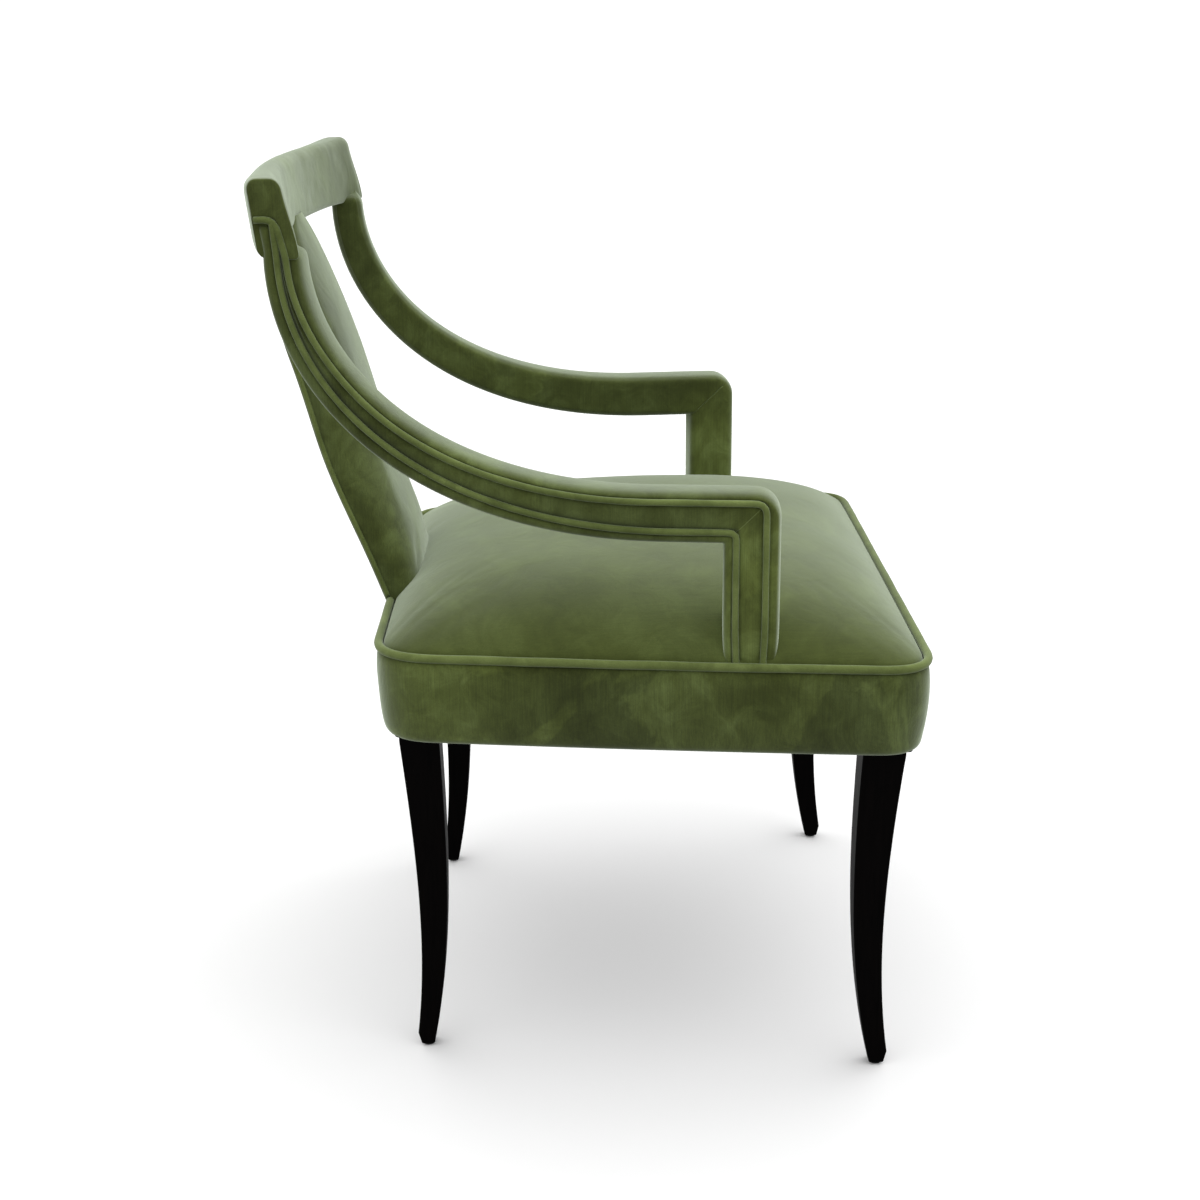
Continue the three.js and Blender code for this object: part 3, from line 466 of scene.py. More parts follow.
# ---------- seat outline ----------
def seat_half(y):
    """Half of the seat's width at y."""
    along = (y - SEAT_FRONT_Y) / (SEAT_REAR_Y - SEAT_FRONT_Y)
    bow = 4 * SEAT_SIDE_BOW * along * (1 - along)
    return SEAT_HALF_FRONT + (SEAT_HALF_REAR - SEAT_HALF_FRONT) * along + bow


def arc_between(a, corner, b, steps):
    """Quadratic curve from a to b that bends at corner, without its last point."""
    a, corner, b = (np.array(v, float) for v in (a, corner, b))
    t = np.linspace(0, 1, steps + 1)[:-1, None]
    return (1 - t) ** 2 * a + 2 * t * (1 - t) * corner + t * t * b


def seat_outline(inset, corner=None):
    """The seat's plan moved inwards by inset, anticlockwise from the middle of the front."""
    reach = max(SEAT_CORNER - inset if corner is None else corner, 3.0)
    front, rear = SEAT_FRONT_Y + inset, SEAT_REAR_Y - inset

    def side(y):
        return seat_half(y) - inset

    middle = (front + rear) / 2
    bulge = 2 * side(middle) - (side(front + reach) + side(rear - reach)) / 2
    front_end, rear_end = (side(front) - reach, front), (side(rear) - reach, rear)
    side_start, side_end = (side(front + reach), front + reach), (side(rear - reach), rear - reach)
    half_straight, bend = 22, 14  # points along half of a straight edge, and round a corner
    right = [
        arc_between((0, front), (side(front) / 2, front), front_end, half_straight),
        arc_between(front_end, (side(front), front), side_start, bend),
        arc_between(side_start, (bulge, middle), side_end, 2 * half_straight),
        arc_between(side_end, (side(rear), rear), rear_end, bend),
        arc_between(rear_end, (side(rear) / 2, rear), (0, rear), half_straight),
    ]
    right = np.vstack(right)
    left = (right * [-1, 1])[::-1]
    last = np.array([[0, rear]])
    return np.vstack([right, last, left[:-1]])


def outward_normals(points):
    """Outward unit normals of a closed outline in plan."""
    along = np.roll(points, -1, 0) - np.roll(points, 1, 0)
    along /= np.linalg.norm(along, axis=1)[:, None]
    return np.stack([along[:, 1], -along[:, 0]], 1)


# ---------- seat ----------
def post_distance(x, y):
    """Distance in plan from an arm post's footprint, negative inside it."""
    x = abs(x)
    across = x - (ARM_PLANE_X + ARM_PLANE_SLOPE * y)
    dx = max(across, -ARM_THICKNESS - across)
    dy = max(POST_FRONT_Y + POST_TUCK - y, y - POST_REAR_Y + POST_TUCK)
    if dx > 0 and dy > 0:
        return math.hypot(dx, dy)
    return max(dx, dy)


def splat_foot_distance(x, y):
    """Distance in plan from the splat's foot, negative inside it."""
    dx, dy = abs(x) - SPLAT_HALF, SPLAT_FOOT_Y - y
    if dx > 0 and dy > 0:
        return math.hypot(dx, dy)
    return max(dx, dy)


def crown_share(x, y, scale):
    """Height of the crown as a share of its height at the middle, fuller across than along."""
    half_length = (SEAT_REAR_Y - SEAT_FRONT_Y) / 2
    across = min(1.0, abs(x) / seat_half(y))
    along = min(1.0, abs(y - SEAT_MIDDLE_Y) / half_length)
    return (1 - across**3) ** 0.55 * (1 - along**3) ** 0.7 * (1 - scale**24) ** 0.4


def seat_top():
    """Crowned top: rings that shrink towards the middle, then a cloth run that tightens the cover."""
    edge = seat_outline(SEAT_PIPING + 0.6)
    scales = [1.0, 0.996, 0.988, 0.976, 0.96, 0.94, 0.915, 0.885, 0.85]
    scales += list(np.linspace(0.81, 0.03, 26))
    seam = SEAM_Z - 2  # the cover's edge goes down beside the piping
    foam = SEAM_Z - 0.8  # the finished cover stays above the foam's crown, which starts here
    slack = 4  # the cloth starts this much lower than the finished crown
    points, least = [], []
    for scale in scales:
        for x, y in edge:
            x_in, y_in = x * scale, SEAT_MIDDLE_Y + (y - SEAT_MIDDLE_Y) * scale
            share = crown_share(x_in, y_in, scale)
            points.append((x_in, y_in, seam + (CROWN - slack) * share))
            least.append(foam + CROWN * share if scale < 1 else seam)
    faces = grid_faces(len(scales), len(edge), True)
    centre = len(points)
    points.append((0.0, SEAT_MIDDLE_Y, seam + (CROWN - slack)))
    least.append(foam + CROWN)
    last = (len(scales) - 1) * len(edge)
    faces += [(last + i, last + (i + 1) % len(edge), centre) for i in range(len(edge))]
    piece = make_object("seat_top", points, faces, velvet_seat)
    two_outer_rings = list(range(2 * len(edge)))
    stretch_cover(piece, two_outer_rings, pressure=5.0, cap=0.008)
    shaped = coordinates(piece) / MM
    peak = shaped[:, 2].max() - SEAM_Z
    sink, round_post, round_splat, ripple = 1.4, 9.0, 12.0, 0.9
    for p, floor in zip(shaped, least):
        rise = p[2] - SEAM_Z
        if rise > 0:
            p[2] = SEAM_Z + rise * CROWN / peak
        p[2] = max(p[2], floor)
        p[2] -= sink * math.exp(-max(post_distance(p[0], p[1]), 0) / round_post)
        p[2] -= sink * math.exp(-max(splat_foot_distance(p[0], p[1]), 0) / round_splat)
        wave = noise.noise(Vector((p[0] * 0.013, p[1] * 0.013, 5.0)))
        p[2] += ripple * wave * smooth_step(0, 25, rise)
    set_coordinates(piece, shaped * MM)
    placed(subdivide(piece), "velvet", "seat_top_cover", fill=0.9)


def seat_border():
    """The band round the seat: upright, a little proud below the piping, rounded under at the bottom."""
    # (inset from the seat's plan, height), from the piping down
    profile = [(3.2, 437.0), (0.4, 435.4), (-1.4, 431.8), (-2.3, 424.0), (-2.6, 412.0)]
    profile += [(-2.2, 398.0), (-1.2, 384.0), (0.2, 372.0), (1.6, 363.5)]
    round_inset, round_z, radius = 2.2, 361.0, 10
    for turn in np.linspace(0.2, 1.0, 5):
        angle = turn * math.pi / 2
        inset = round_inset + radius * (1 - math.cos(angle))
        profile.append((inset, round_z - radius * math.sin(angle)))
    profile += [(15.0, 351.0), (18.5, 352.4), (18.5, 358.0)]
    points = []
    for inset, z in profile:
        ring = seat_outline(inset, max(SEAT_CORNER - inset, 20))
        normals = outward_normals(ring)
        for (x, y), (nx, ny) in zip(ring, normals):
            soft = 0.9 * noise.noise(Vector((x * 0.012, y * 0.012, z * 0.02)))
            soft += 0.35 * noise.noise(Vector((x * 0.045, y * 0.045, z * 0.05 + 9)))
            soft *= smooth_step(437, 428, z) * smooth_step(352, 366, z)  # none at the seams
            points.append((x + nx * soft, y + ny * soft, z))
    faces = flip(grid_faces(len(profile), len(ring), True))
    piece = make_object("seat_border", points, faces, velvet_border)
    placed(subdivide(piece), "velvet", "seat_border_cover", fill=0.35)


def seat_piping():
    """One welt round the seat, its ends meeting at the middle of the rear."""
    ring = seat_outline(0.0)
    line = resample([(x, y, SEAM_Z) for x, y in ring], 260, closed=True)
    rear = int(np.argmin(np.abs(line[:, 0]) - line[:, 1] * 10))
    line = np.roll(line, -rear, 0)
    for p in line:
        p[2] += 0.35 * noise.noise(Vector(p * 0.02))
    line = np.vstack([line, line[:1]])
    gap = 0.4  # between the welt's two ends
    line[0, 0] += gap * np.sign(line[1, 0] - line[0, 0])
    piece = tube("seat_piping_welt", line, SEAT_PIPING, wobble=0.05, sides=14)
    placed(piece, "piping", "seat_piping")


# ---------- arms, drawn in side view as (y, z) on the arm's plane ----------
def bezier(t):
    """Point of the arm's middle line, a cubic curve, at t from 0 to 1."""
    p = [np.array(v) for v in ARM_LINE]
    return (1 - t) ** 3 * p[0] + 3 * t * (1 - t) ** 2 * p[1] + 3 * t * t * (1 - t) * p[2] + t**3 * p[3]


def bezier_normal(t):
    """Unit normal of the middle line at t, towards the arm's upper edge."""
    p = [np.array(v) for v in ARM_LINE]
    d = 3 * (1 - t) ** 2 * (p[1] - p[0]) + 6 * t * (1 - t) * (p[2] - p[1]) + 3 * t * t * (p[3] - p[2])
    d /= np.linalg.norm(d)
    return np.array([-d[1], d[0]])


def arm_width(t):
    """Width of the band at t, a quadratic curve through the first and last widths."""
    a, b, c = ARM_WIDTHS
    return a * (1 - t) ** 2 + 2 * b * t * (1 - t) + c * t * t


def corner_arc(front, level, radius, share):
    """Point on a quarter arc from the post's edge (share 0) to the arm's edge (share 1)."""
    angle = math.pi - share * math.pi / 2
    return np.array([front + radius + radius * math.cos(angle), level - radius + radius * math.sin(angle)])


def post_rows(spots):
    """Up the post, which narrows a little where it enters the seat."""
    rows = []
    low = POST_FOOT_Z - 3
    for share in np.linspace(0, 1, 16)[:-1]:
        row = []
        for y, z, radius in spots:
            at = low + (z - radius - low) * share
            tuck = 0.3 * POST_TUCK * (1 - smooth_step(POST_FOOT_Z, POST_FOOT_Z + 34, at))
            way = 1 if y < (POST_FRONT_Y + POST_REAR_Y) / 2 else -1
            row.append((np.array([y + way * tuck, at]), 0.0))
        rows.append(row)
    return rows


def corner_rows(spots):
    """Round the front corner, creased at the mitre halfway, and on to the start of the middle line."""
    rows = []
    half = [0, 0.1, 0.2, 0.3, 0.38, 0.43, 0.465, 0.487]
    shares = [*half, 0.5, 0.513, 0.535, 0.57, 0.63, 0.7, 0.8, 0.9, 1.0]
    for share in shares:
        crease = math.exp(-(((share - 0.5) / 0.016) ** 2))
        rows.append([(corner_arc(y, z, radius, share), crease) for y, z, radius in spots])
    first = [corner_arc(y, z, radius, 1.0) for y, z, radius in spots]
    for share in (0.3, 0.65):
        row = []
        for (_, z, _), start in zip(spots, first):
            end = np.array([ARM_LINE[0][0], z])
            row.append((start + (end - start) * share, 0.0))
        rows.append(row)
    return rows


def sweep_rows():
    """Along the middle line; the lower roll grows fuller and the outer piping moves in at the top."""
    rows = []
    for t in np.linspace(0, 1, 46):
        centre, normal, half = bezier(t), bezier_normal(t), arm_width(t) / 2
        closing = 3.5 * smooth_step(0.62, 1.0, t)
        full = ARM_FULLNESS * min(1.0, 2.5 * t * (1.3 - t))
        offsets = (-half - full, -half + INNER_INSET, half - OUTER_INSET - closing, half)
        rows.append([(centre + normal * offset, 0.0) for offset in offsets])
    return rows


def channel_y(z):
    """Line in side view along which the outer piping runs on over the end of the top rail."""
    return 262.4 + 0.25 * (z - ARM_LINE[3][1])


def rail_end_rows():
    """Over the end of the top rail, where the band narrows towards the rail's rear edge."""
    rows = []
    for z in (817.6, 822.0, 828.0, 834.0, 839.0, 844.0):
        rise = z - ARM_LINE[3][1]
        upper = 255.0 if z < 818 else 257.0 + 0.25 * rise  # the first row still covers the wooden sweep
        places = (282.6 + 0.15 * rise, 270.4 + 0.08 * rise, channel_y(z), upper)
        rows.append([(np.array([y, z]), 0.0) for y in places])
    return rows


def arm_rows():
    """Rows of four (place, crease): lower edge, inner piping, outer piping and upper edge of the band."""
    upper_z = ARM_LINE[0][1] + ARM_WIDTHS[0] / 2
    lower_z = ARM_LINE[0][1] - ARM_WIDTHS[0] / 2
    spots = [  # each rail's y up the post, its z along the arm, and its radius at the corner
        (POST_REAR_Y, lower_z, 2.0),
        (POST_REAR_Y - INNER_INSET, lower_z + INNER_INSET, 4.0),
        (POST_FRONT_Y + OUTER_INSET + POST_ROLL, upper_z - OUTER_INSET, 8.0),
        (POST_FRONT_Y, upper_z, 23.0),
    ]
    return post_rows(spots) + corner_rows(spots) + sweep_rows() + rail_end_rows()


def row_rises(row):
    """Whether the row lies on the end of the top rail."""
    return row[2][0][1] > ARM_LINE[3][1] + 6


def on_arm(y, z, depth):
    """The left arm's place for a side-view place and a depth, 0 at the outer face and negative inwards."""
    length = math.hypot(1, ARM_PLANE_SLOPE)
    return (
        ARM_PLANE_X + (ARM_PLANE_SLOPE * y + depth) / length,
        (y - ARM_PLANE_SLOPE * depth) / length,
        z,
    )


def arm_section():
    """Closed section as (rail, shift from it, proud, depth, share of the mitre's crease, softness).

    A positive shift goes towards the next rail. Without a shift, the first value is a share of the width.
    """
    out = []
    # outer face, from the inner piping to the outer piping
    out += [(1, 1.3, 0, -4.2, 1.0, 0.0), (1, 3.3, 0, -2.9, 1.0, 0.1), (1, 5.6, 0, -1.7, 1.0, 0.3)]
    out += [(1, 9.5, 0, -1.2, 1.0, 0.4), (2, -9.5, 0, -1.2, 1.0, 0.4)]
    out += [(2, -5.6, 0, -1.7, 1.0, 0.3), (2, -3.3, 0, -2.9, 1.0, 0.1), (2, -1.3, 0, -4.2, 1.0, 0.0)]
    # roll above the outer piping
    out += [(2, 1.3, 0, -4.2, 0.2, 0.0), (2, 2.4, 0, -2.6, 0.2, 0.0), (3, -2.9, 0, -2.2, 0.1, 0.0)]
    out += [(3, -1.2, 0, -3.9, 0.0, 0.0), (3, 0, 0, -6.6, 0.0, 0.1), (3, 0, 0.8, -9.8, 0.0, 0.3)]
    # upper edge
    for depth, proud in ((-14.5, 1.3), (-21.5, 1.5), (-29.0, 1.3), (-35.0, 0.9)):
        out.append((3, 0, proud, depth, 0.0, 0.5))
    out += [(3, 0, 0.2, -40.5, 0.0, 0.3), (3, -2.0, 0, -44.2, 0.0, 0.2), (3, -5.5, 0, -46.2, 0.3, 0.2)]
    # inner face
    for share in (0.86, 0.7, 0.55, 0.4, 0.25, 0.13):
        out.append((share, None, 0, -ARM_THICKNESS - 1.1, 0.8, 0.7))
    out += [(0, 4.8, 0, -46.2, 0.5, 0.3), (0, 1.8, 0, -44.0, 0.2, 0.2), (0, 0, 0, -40.5, 0.0, 0.2)]
    # lower edge
    for depth, proud in ((-35.0, -0.6), (-27.0, -0.8), (-18.0, -0.8), (-11.0, -0.5)):
        out.append((0, 0, proud, depth, 0.0, 0.4))
    out += [(0, 0, -0.1, -6.4, 0.0, 0.2), (0, 1.2, 0, -2.7, 0.0, 0.1)]
    # roll below the inner piping
    out += [(0, 4.0, 0, -0.5, 0.0, 0.1), (1, -6.4, 0, -0.1, 0.0, 0.1), (1, -4.4, 0, -0.7, 0.1, 0.0)]
    out += [(1, -3.1, 0, -2.5, 0.3, 0.0), (1, -1.3, 0, -4.2, 0.6, 0.0)]
    return out


def row_point(row, rail, shift):
    """Point beside a rail of the row, or, without a shift, at a share of the way across."""
    if shift is None:
        return row[0][0] + (row[3][0] - row[0][0]) * rail
    if shift == 0:
        return row[rail][0]
    towards = row[rail + 1][0] if shift > 0 else row[rail - 1][0]
    gap = np.linalg.norm(towards - row[rail][0])
    reach = min(abs(shift), 0.46 * gap)
    return row[rail][0] + (towards - row[rail][0]) * (reach / gap)


def arm_padding(side, word, rows):
    """The sleeve: the section drawn across every row."""
    section = arm_section()
    roll_start, roll_end = 7, len(section) - 12  # between them the section leaves the outer face
    shallow, deep = -9.0, -20.0  # limits of its depth over the rail's end
    points = []
    for row in rows:
        across = row[3][0] - row[0][0]
        across = across / np.linalg.norm(across)
        crease = row[0][1]
        inside = row_rises(row)
        for number, (rail, shift, proud, depth, sewn, softness) in enumerate(section):
            y, z = row_point(row, rail, shift) + across * proud
            if inside and roll_start < number < roll_end:
                depth = max(min(depth, shallow), deep)
            elif inside:
                depth = max(depth, deep)
            place = Vector((y * 0.022, z * 0.022, depth * 0.03 + side * 5))
            soft = softness * 1.1 * noise.noise(place)
            outward = 1 if depth > -ARM_THICKNESS / 2 else -1
            depth = depth + outward * (soft - 2.0 * crease * sewn)
            if row is rows[-1]:
                depth = min(depth, shallow + 1.0)
            points.append(on_arm(y, z, depth))
    faces = grid_faces(len(rows), len(section), True)
    if side < 0:
        points = mirror(points)
        faces = flip(faces)
    piece = make_object(f"arm_padding_{word}", points, faces, velvet_up)
    placed(subdivide(piece), "velvet", f"arm_cover_{word}", f"arm_strip_{word}", fill=0.7)


def arm_welts(side, word, rows):
    """Piping along the two inner rails; the outer one turns rearwards and ends on the top rail's end."""
    turn = [(271.2, 842.6), (274.5, 845.6), (280.0, 846.0), (289.0, 845.6)]
    for which, rail in (("inner", 1), ("outer", 2)):
        line = [row[rail][0] for row in rows]
        if which == "outer":
            line = line[:-1] + [np.array(v) for v in turn]
        line = resample(smoothed(resample(line, 170), 1), 170)
        path = [on_arm(y, z, -0.3) for y, z in line]
        if side < 0:
            path = mirror(path)
        welt = tube(f"arm_welt_{which}_{word}", path, ARM_PIPING, wobble=0.08)
        placed(welt, "piping", f"arm_piping_{which}_{word}")


def arm_seams(side, word, rows):
    """Mitre seams across the corner: between the pipings outside, and right across inside."""
    mitre = next(row for row in rows if row[0][1] == 1.0)
    for which, first, last, depth in (("outer", 1, 2, -2.6), ("inner", 0, 3, -ARM_THICKNESS + 0.2)):
        start, end = mitre[first][0], mitre[last][0]
        shares = np.linspace(0.13, 0.87, 12)
        path = [on_arm(*(start + (end - start) * share), depth) for share in shares]
        if side < 0:
            path = mirror(path)
        # painted highlight: the seam ridges are drawn in the pipings' lighter velvet, a light line along
        # each mitre
        seam = tube(f"arm_seam_{which}_{word}", path, ARM_SEAM, wobble=0.2, sides=8)
        placed(seam, "piping")


def build_arm(side):
    """Left arm for side 1, right arm for side -1."""
    rows = arm_rows()
    word = "left" if side > 0 else "right"
    arm_padding(side, word, rows)
    arm_welts(side, word, rows)
    arm_seams(side, word, rows)


# ---------- top rail ----------
def rail_front(x):
    """The bowed front line of the rail's foot."""
    return RAIL_FRONT_Y - RAIL_BOW * x * x


def rail_section(corners):
    """Section as (depth, height) from its corners' reach: front foot, rear foot, rear top, front top."""
    centres = []
    for number, (deep, high) in enumerate(corners):
        rear, top = number in (1, 2), number > 1
        centres.append((RAIL_DEPTH - deep if rear else deep, RAIL_HEIGHT - high if top else high))
    section = []
    for (depth, height), (deep, high), begin in zip(centres, corners, (180, 270, 0, 90)):
        for k in range(7):
            angle = math.radians(begin + 15 * k)
            section.append((depth + deep * math.cos(angle), height + high * math.sin(angle)))
    return resample(section, 84, closed=True)


def in_channel(y, z):
    """How far a point of the rail's end lies in the channel for the end of the arm's band, 0 to 1."""
    line = channel_y(z)
    return smooth_step(line - 3.5, line + 0.5, y) * smooth_step(849.0, 844.5, z)


# how far the cover is drawn in by the seams, by share of the way to the rail's end
RAIL_CREASES = {1.0: 1.6, 0.9975: 0.5, 0.992: 0.1, 0.985: 0.9, 0.979: 1.9, 0.973: 0.7}


def rail_rings():
    """(share of the way to the end, size of the section), from one end panel's middle to the other's."""
    steps = [-1.0, -0.9975, -0.992, -0.985, -0.979, -0.973, -0.96, -0.948]
    shares = np.concatenate([steps, np.linspace(-0.93, 0.93, 57), [-v for v in reversed(steps)]])
    panel = [0.965, 0.92, 0.86, 0.8, 0.73, 0.66, 0.58, 0.5, 0.42, 0.33, 0.24, 0.15, 0.06]
    rings = [(-1.0, size) for size in reversed(panel)]
    rings += [(share, 1.0) for share in shares]
    rings += [(1.0, size) for size in panel]
    return rings


def rail_point(share, size, centre, depth, height):
    """Place of a section's point: creased, turned in at the end, leaned, bowed, puffed and rumpled."""
    out = abs(share)
    tight = next((v for k, v in RAIL_CREASES.items() if abs(out - k) < 1e-4), 0.0)
    out_depth, out_height = depth - centre[0], height - centre[1]
    upper = smooth_step(20.0, 60.0, height) * smooth_step(4.0, 12.0, depth)
    inward = 1.0
    if tight:
        inward = 1.0 - (0.4 + 0.6 * upper) * tight / math.hypot(out_depth, out_height)
    depth = centre[0] + out_depth * inward * size
    height = centre[1] + out_height * inward * size

    turned = min(1.0, max(0.0, (out - 0.945) / 0.055))
    recess = 0.8 + 2.6 * smooth_step(10.0, 65.0, height)
    depth += recess * (1 - math.sqrt(1 - turned**2)) * (1 - depth / RAIL_DEPTH)
    height *= 1 + 0.05 * out**5
    forward = 1 - depth / RAIL_DEPTH  # 1 at the front, 0 at the rear
    heel = 4.6 * smooth_step(0.84, 0.97, out) * smooth_step(64.0, 6.0, height)
    y = depth + RAIL_LEAN * height - heel * forward
    end_y = rail_front(RAIL_END_X) + y
    x = (ARM_PLANE_X + ARM_PLANE_SLOPE * end_y - 0.6) * share

    middle = 1 - out**14
    front_puff = 1.6 * math.sin(math.pi * min(1, max(0, height / RAIL_HEIGHT))) * forward
    top_puff = 1.2 * math.sin(math.pi * min(1, max(0, depth / RAIL_DEPTH)) ** 0.8)
    top_puff *= smooth_step(30, RAIL_HEIGHT, height)
    y = rail_front(x) + y - front_puff * middle
    z = RAIL_BOTTOM + height + top_puff * (0.25 + 0.75 * middle)
    soft = 0.9 * noise.noise(Vector((x * 0.02, y * 0.02, z * 0.03)))
    soft += 0.35 * noise.noise(Vector((x * 0.06, y * 0.06, z * 0.07 + 3)))
    if size < 1.0 or out > 0.995:
        hollow = 0.4 if size < 0.9 else 0.0
        x -= math.copysign(2.6 * in_channel(y, z) + hollow, share)
    return (x, y - soft * middle * forward, z + 0.6 * soft * middle)


def build_rail():
    """Bowed padded bar; each end closes with a flat panel, creased where it meets the top and the rear."""
    between = rail_section([(9.0, 9.0), (9.0, 9.0), (22.0, 23.0), (9.0, 10.0)])
    at_ends = rail_section([(4.0, 4.0), (8.0, 8.0), (10.0, 10.0), (9.0, 9.0)])
    rings, columns = rail_rings(), len(between)
    points = []
    for share, size in rings:
        section = between + (at_ends - between) * smooth_step(0.35, 1.0, abs(share))
        centre = section.mean(0)
        points += [rail_point(share, size, centre, depth, height) for depth, height in section]
    faces = capped(grid_faces(len(rings), columns, True), len(rings), columns)
    piece = make_object("top_rail_padding", points, faces, velvet_up)
    placed(subdivide(piece), "velvet", "top_rail_cover", fill=0.8)


# ---------- splat ----------
def catmull(points, t):
    """Centripetal Catmull-Rom through points, t from 0 to 1 over all spans."""
    p = [np.array(v, float) for v in points]
    spans = len(p) - 1
    k = min(int(t * spans), spans - 1)
    u = t * spans - k
    before = p[k - 1] if k > 0 else 2 * p[0] - p[1]
    after = p[k + 2] if k + 2 < len(p) else 2 * p[-1] - p[-2]
    a, b, c, d = before, p[k], p[k + 1], after
    d0, d1, d2 = (max(np.linalg.norm(v), 1e-6) ** 0.5 for v in (b - a, c - b, d - c))
    m1 = (b - a) / d0 - (c - a) / (d0 + d1) + (c - b) / d1
    m2 = (c - b) / d1 - (d - b) / (d1 + d2) + (d - c) / d2
    m1, m2 = m1 * d1, m2 * d1
    return (2 * b - 2 * c + m1 + m2) * u**3 + (-3 * b + 3 * c - 2 * m1 - m2) * u * u + m1 * u + b


def splat_half(z):
    """Half of the splat's width: straight sides that close in an arch."""
    rise = max(0.0, (z - ARCH_Z) / ARCH_HEIGHT)
    return SPLAT_HALF * math.sqrt(max(0.1, 1 - rise * rise))


def splat_rows(count):
    """Places (y, z) up the splat's middle line, each with its direction rearwards."""
    rows = []
    for t in np.linspace(0.004, 0.985, count):
        here, ahead = catmull(SPLAT_LINE, t), catmull(SPLAT_LINE, min(1, t + 0.01))
        behind = catmull(SPLAT_LINE, max(0, t - 0.01))
        along = (ahead - behind) / np.linalg.norm(ahead - behind)
        rows.append((here, np.array([along[1], -along[0]])))
    return rows


def splat_swell(z):
    """How far the splat's rear face stands back at half height, closing in again under the rail."""
    return 4.5 * smooth_step(480.0, 620.0, z) - 11.0 * smooth_step(700.0, RAIL_BOTTOM, z)


def pad_section(wide, seam):
    """Half of the pad's section, seam to middle: straight side, broad round corner, crowned front."""
    shape = [(wide - 1.8, seam), (wide - 0.5, seam - 1.6), (wide + 0.2, seam - 5.0), (wide, 6.0)]
    reach, depth = 0.36 * wide, 24.5
    for turn in (0.08, 0.2, 0.34, 0.48, 0.62, 0.76, 0.9, 1.0):
        angle = turn * math.pi / 2
        x = wide - reach * (1 - math.cos(angle))
        shape.append((x, 2.5 - depth * math.sin(angle) ** 0.92 + 1.2 * turn))
    for share in (0.8, 0.6, 0.4, 0.2, 0.0):
        shape.append(((wide - reach) * share, -20.8 - 2.0 * (1 - share * share)))
    slack = 0.8  # the pad starts this much narrower, and the cloth run fills it
    return [(x - slack if x > 1 else x, d) for x, d in shape]


def splat_pad(rows):
    """Thick soft front pad, tucked in at its foot and held at its seams by the cloth run."""
    points, held = [], []
    for r, (here, rearwards) in enumerate(rows):
        shape = pad_section(splat_half(here[1]), SPLAT_SEAM + splat_swell(here[1]))
        full = shape + [(-x, d) for x, d in reversed(shape[:-1])]
        columns = len(full)
        for c, (x, d) in enumerate(full):
            tuck = 3.0 * smooth_step(478.0, 450.0, here[1]) * (1 if d < 6 else 0)
            y, z = here + rearwards * (d + tuck)
            points.append((x, y, z))
            edge = min(c, columns - 1 - c)
            if edge < 2 or r < 2 or r > len(rows) - 3:
                held.append(r * columns + c)
    piece = make_object("splat_pad", points, flip(grid_faces(len(rows), columns, False)), velvet_up)
    stretch_cover(piece, held, pressure=4.0, cap=0.005, stiffness=22.0)
    placed(subdivide(piece), "velvet", "splat_front_pad", fill=0.75)


def splat_back(rows):
    """Shallower rear panel, drawn in at its edges and closing in under the rail."""
    points = []
    shares = [-1.0, -0.99, -0.97, -0.93, -0.86, -0.72, -0.5, -0.25, 0.0]
    shares += [-v for v in reversed(shares[:-1])]
    falls = {1.0: 4.6, 0.99: 2.2, 0.97: 0.6}
    for here, rearwards in rows:
        wide = splat_half(here[1]) - 1.0
        closing = 5.0 * smooth_step(755.0, RAIL_BOTTOM, here[1])
        for share in shares:
            proud = 1.4 * (1 - share**4) - falls.get(abs(share), 0.0) - closing
            y, z = here + rearwards * (SPLAT_REAR + splat_swell(here[1]) + proud)
            points.append((share * wide, y, z))
    back = make_object("splat_back", points, grid_faces(len(rows), len(shares), False), velvet_up)
    placed(subdivide(back), "velvet", "splat_back_panel", fill=0.4)


def build_splat():
    """The front pad, the rear panel, and a welt up each side between them."""
    rows = splat_rows(58)
    splat_pad(rows)
    splat_back(rows)
    for side, word in ((1, "left"), (-1, "right")):
        path = []
        for here, rearwards in rows[1:-1]:
            y, z = here + rearwards * (SPLAT_SEAM + 0.4 + splat_swell(here[1]))
            path.append((side * (splat_half(here[1]) - 1.6), y, z))
        welt = tube(f"splat_welt_{word}", resample(path, 110), SPLAT_PIPING, wobble=0.06)
        placed(welt, "piping", f"splat_piping_{word}")


# ---------- carried-over pieces ----------
LEGS = ("leg_front", "leg_rear")
FINISHES = [
    (lacquer, LEGS),
    (nylon, ("glide",)),
    (beech, ("corner_block", "seat_rail", "arm_post_core", "arm_sweep_core")),
    (beech, ("top_rail_core", "splat_board", "rail_dowel")),
    (steel, ("leg_bolt", "arm_bolt")),
    (webbing, ("web_strap",)),
    (foam, ("seat_foam",)),
    (lining, ("dust_cover",)),
]


def round_edges(node):
    """Smooth faces between slightly rounded edges."""
    for polygon in node.data.polygons:
        polygon.use_smooth = True
    weld = node.modifiers.new("Weld", "WELD")
    weld.merge_threshold = 0.00002
    bevel = node.modifiers.new("Bevel", "BEVEL")
    bevel.width = 0.0022
    bevel.segments = 3
    bevel.limit_method = "ANGLE"
    bevel.angle_limit = math.radians(50)
    normal = node.modifiers.new("Normals", "WEIGHTED_NORMAL")
    normal.keep_sharp = True


def dress_frame():
    """Gives every carried-over node its finish, and the legs their edges."""
    for name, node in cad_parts.items():
        for material, starts in FINISHES:
            if name.startswith(starts):
                for slot in node.material_slots:
                    slot.material = material
        if name.startswith(LEGS):
            round_edges(node)


dress_frame()
seat_top()
seat_border()
seat_piping()
build_arm(1)
build_arm(-1)
build_rail()
build_splat()


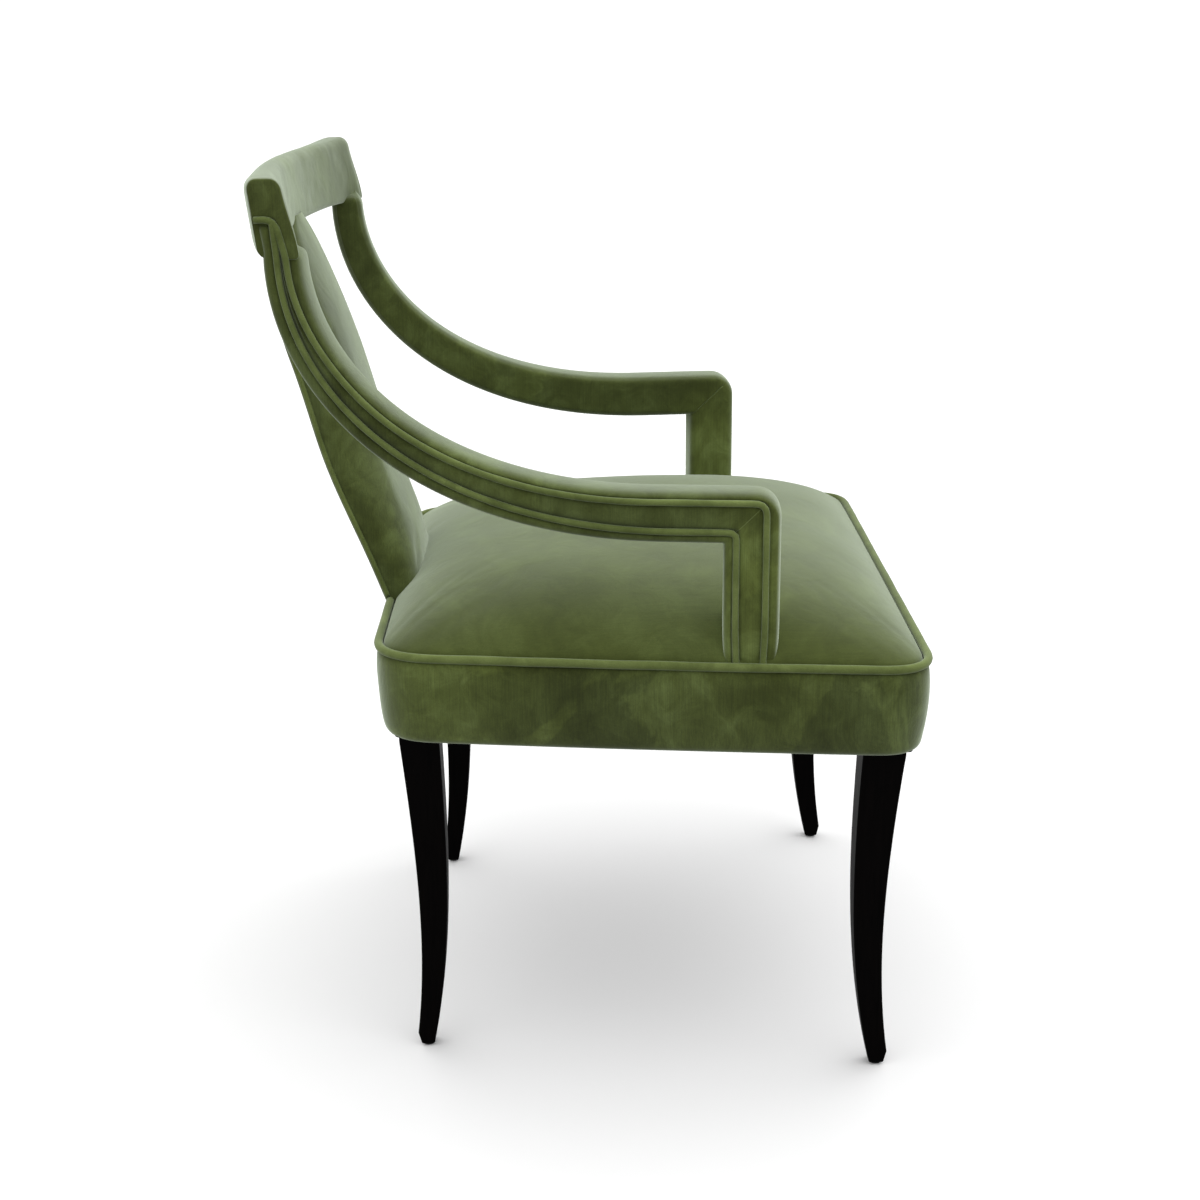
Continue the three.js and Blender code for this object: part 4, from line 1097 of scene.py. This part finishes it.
# ---------- camera, floor and light ----------
def build_camera():
    """Stands at the sitter's right, above the chair, and looks down across the seat."""
    yaw, pitch = math.radians(CAMERA_YAW), math.radians(CAMERA_PITCH)
    level = Vector((math.cos(yaw), -math.sin(yaw), 0.0))
    ahead = level * math.cos(pitch) - Vector((0, 0, math.sin(pitch)))
    right = Vector((-math.sin(yaw), -math.cos(yaw), 0.0))
    up = right.cross(ahead)
    data = bpy.data.cameras.new("camera")
    data.lens = CAMERA_LENS
    data.sensor_width = 36.0
    data.shift_x = CAMERA_SHIFT
    data.clip_end = 5000.0
    camera = bpy.data.objects.new("camera", data)
    turn = Matrix((right, up, -ahead)).transposed()
    camera.matrix_world = Matrix.Translation(CAMERA_PLACE) @ turn.to_4x4()
    scene.collection.objects.link(camera)
    scene.camera = camera


def build_floor():
    """A wide pale floor that throws less light up at the chair than it shows."""
    size = 2000.0
    corners = [(-size, -size, 0), (size, -size, 0), (size, size, 0), (-size, size, 0)]
    mesh = bpy.data.meshes.new("floor")
    mesh.from_pydata(corners, [], [(0, 1, 2, 3)])
    floor = bpy.data.objects.new("floor", mesh)
    scene.collection.objects.link(floor)
    build = Finish("studio_floor")
    tone = build.noise(build.position, 3.0, 2.0, 0.5)
    pale = build.ramp(tone, (0.3, grey(0.898)), (0.7, grey(0.902)))
    seen = build.new("ShaderNodeLightPath").outputs["Is Camera Ray"]
    build.link(build.mix(seen, grey(0.34), pale), build.shader.inputs["Base Color"])
    set_shader(build, Roughness=1.0, Specular_IOR_Level=0.0)
    mesh.materials.append(build.material)


def build_light():
    """A studio at infinity: bright overhead, a soft box high in front, another at the sitter's left."""
    world = bpy.data.worlds.new("studio")
    scene.world = world
    world.use_nodes = True
    build = Nodes(world.node_tree)
    background = build.tree.nodes["Background"]
    direction = build.new("ShaderNodeTexCoord").outputs["Generated"]

    def glow(towards, sharpness, strength):
        node = build.new("ShaderNodeVectorMath", operation="DOT_PRODUCT")
        node.inputs[1].default_value = Vector(towards).normalized()
        build.link(direction, node.inputs[0])
        facing = build.math("MAXIMUM", node.outputs["Value"], 0.0)
        return build.math("MULTIPLY", build.math("POWER", facing, sharpness), strength)

    total = build.math("ADD", SKY, glow((0, 0, 1), 1.0, OVERHEAD))
    total = build.math("ADD", total, glow(KEY_DIRECTION, KEY_SHARPNESS, KEY_STRENGTH))
    total = build.math("ADD", total, glow(RIM_DIRECTION, RIM_SHARPNESS, RIM_STRENGTH))
    seen = build.new("ShaderNodeLightPath").outputs["Is Camera Ray"]
    kept = build.math("MULTIPLY", total, build.math("SUBTRACT", 1.0, seen))
    build.link(build.math("ADD", kept, seen), background.inputs["Strength"])
    background.inputs["Color"].default_value = (1.0, 1.0, 1.0, 1.0)
    scene.view_settings.view_transform = "Standard"
    scene.view_settings.look = "None"
    scene.view_settings.exposure = 0.0
    scene.view_settings.gamma = 1.0


build_camera()
build_floor()
build_light()

bpy.context.view_layer.update()
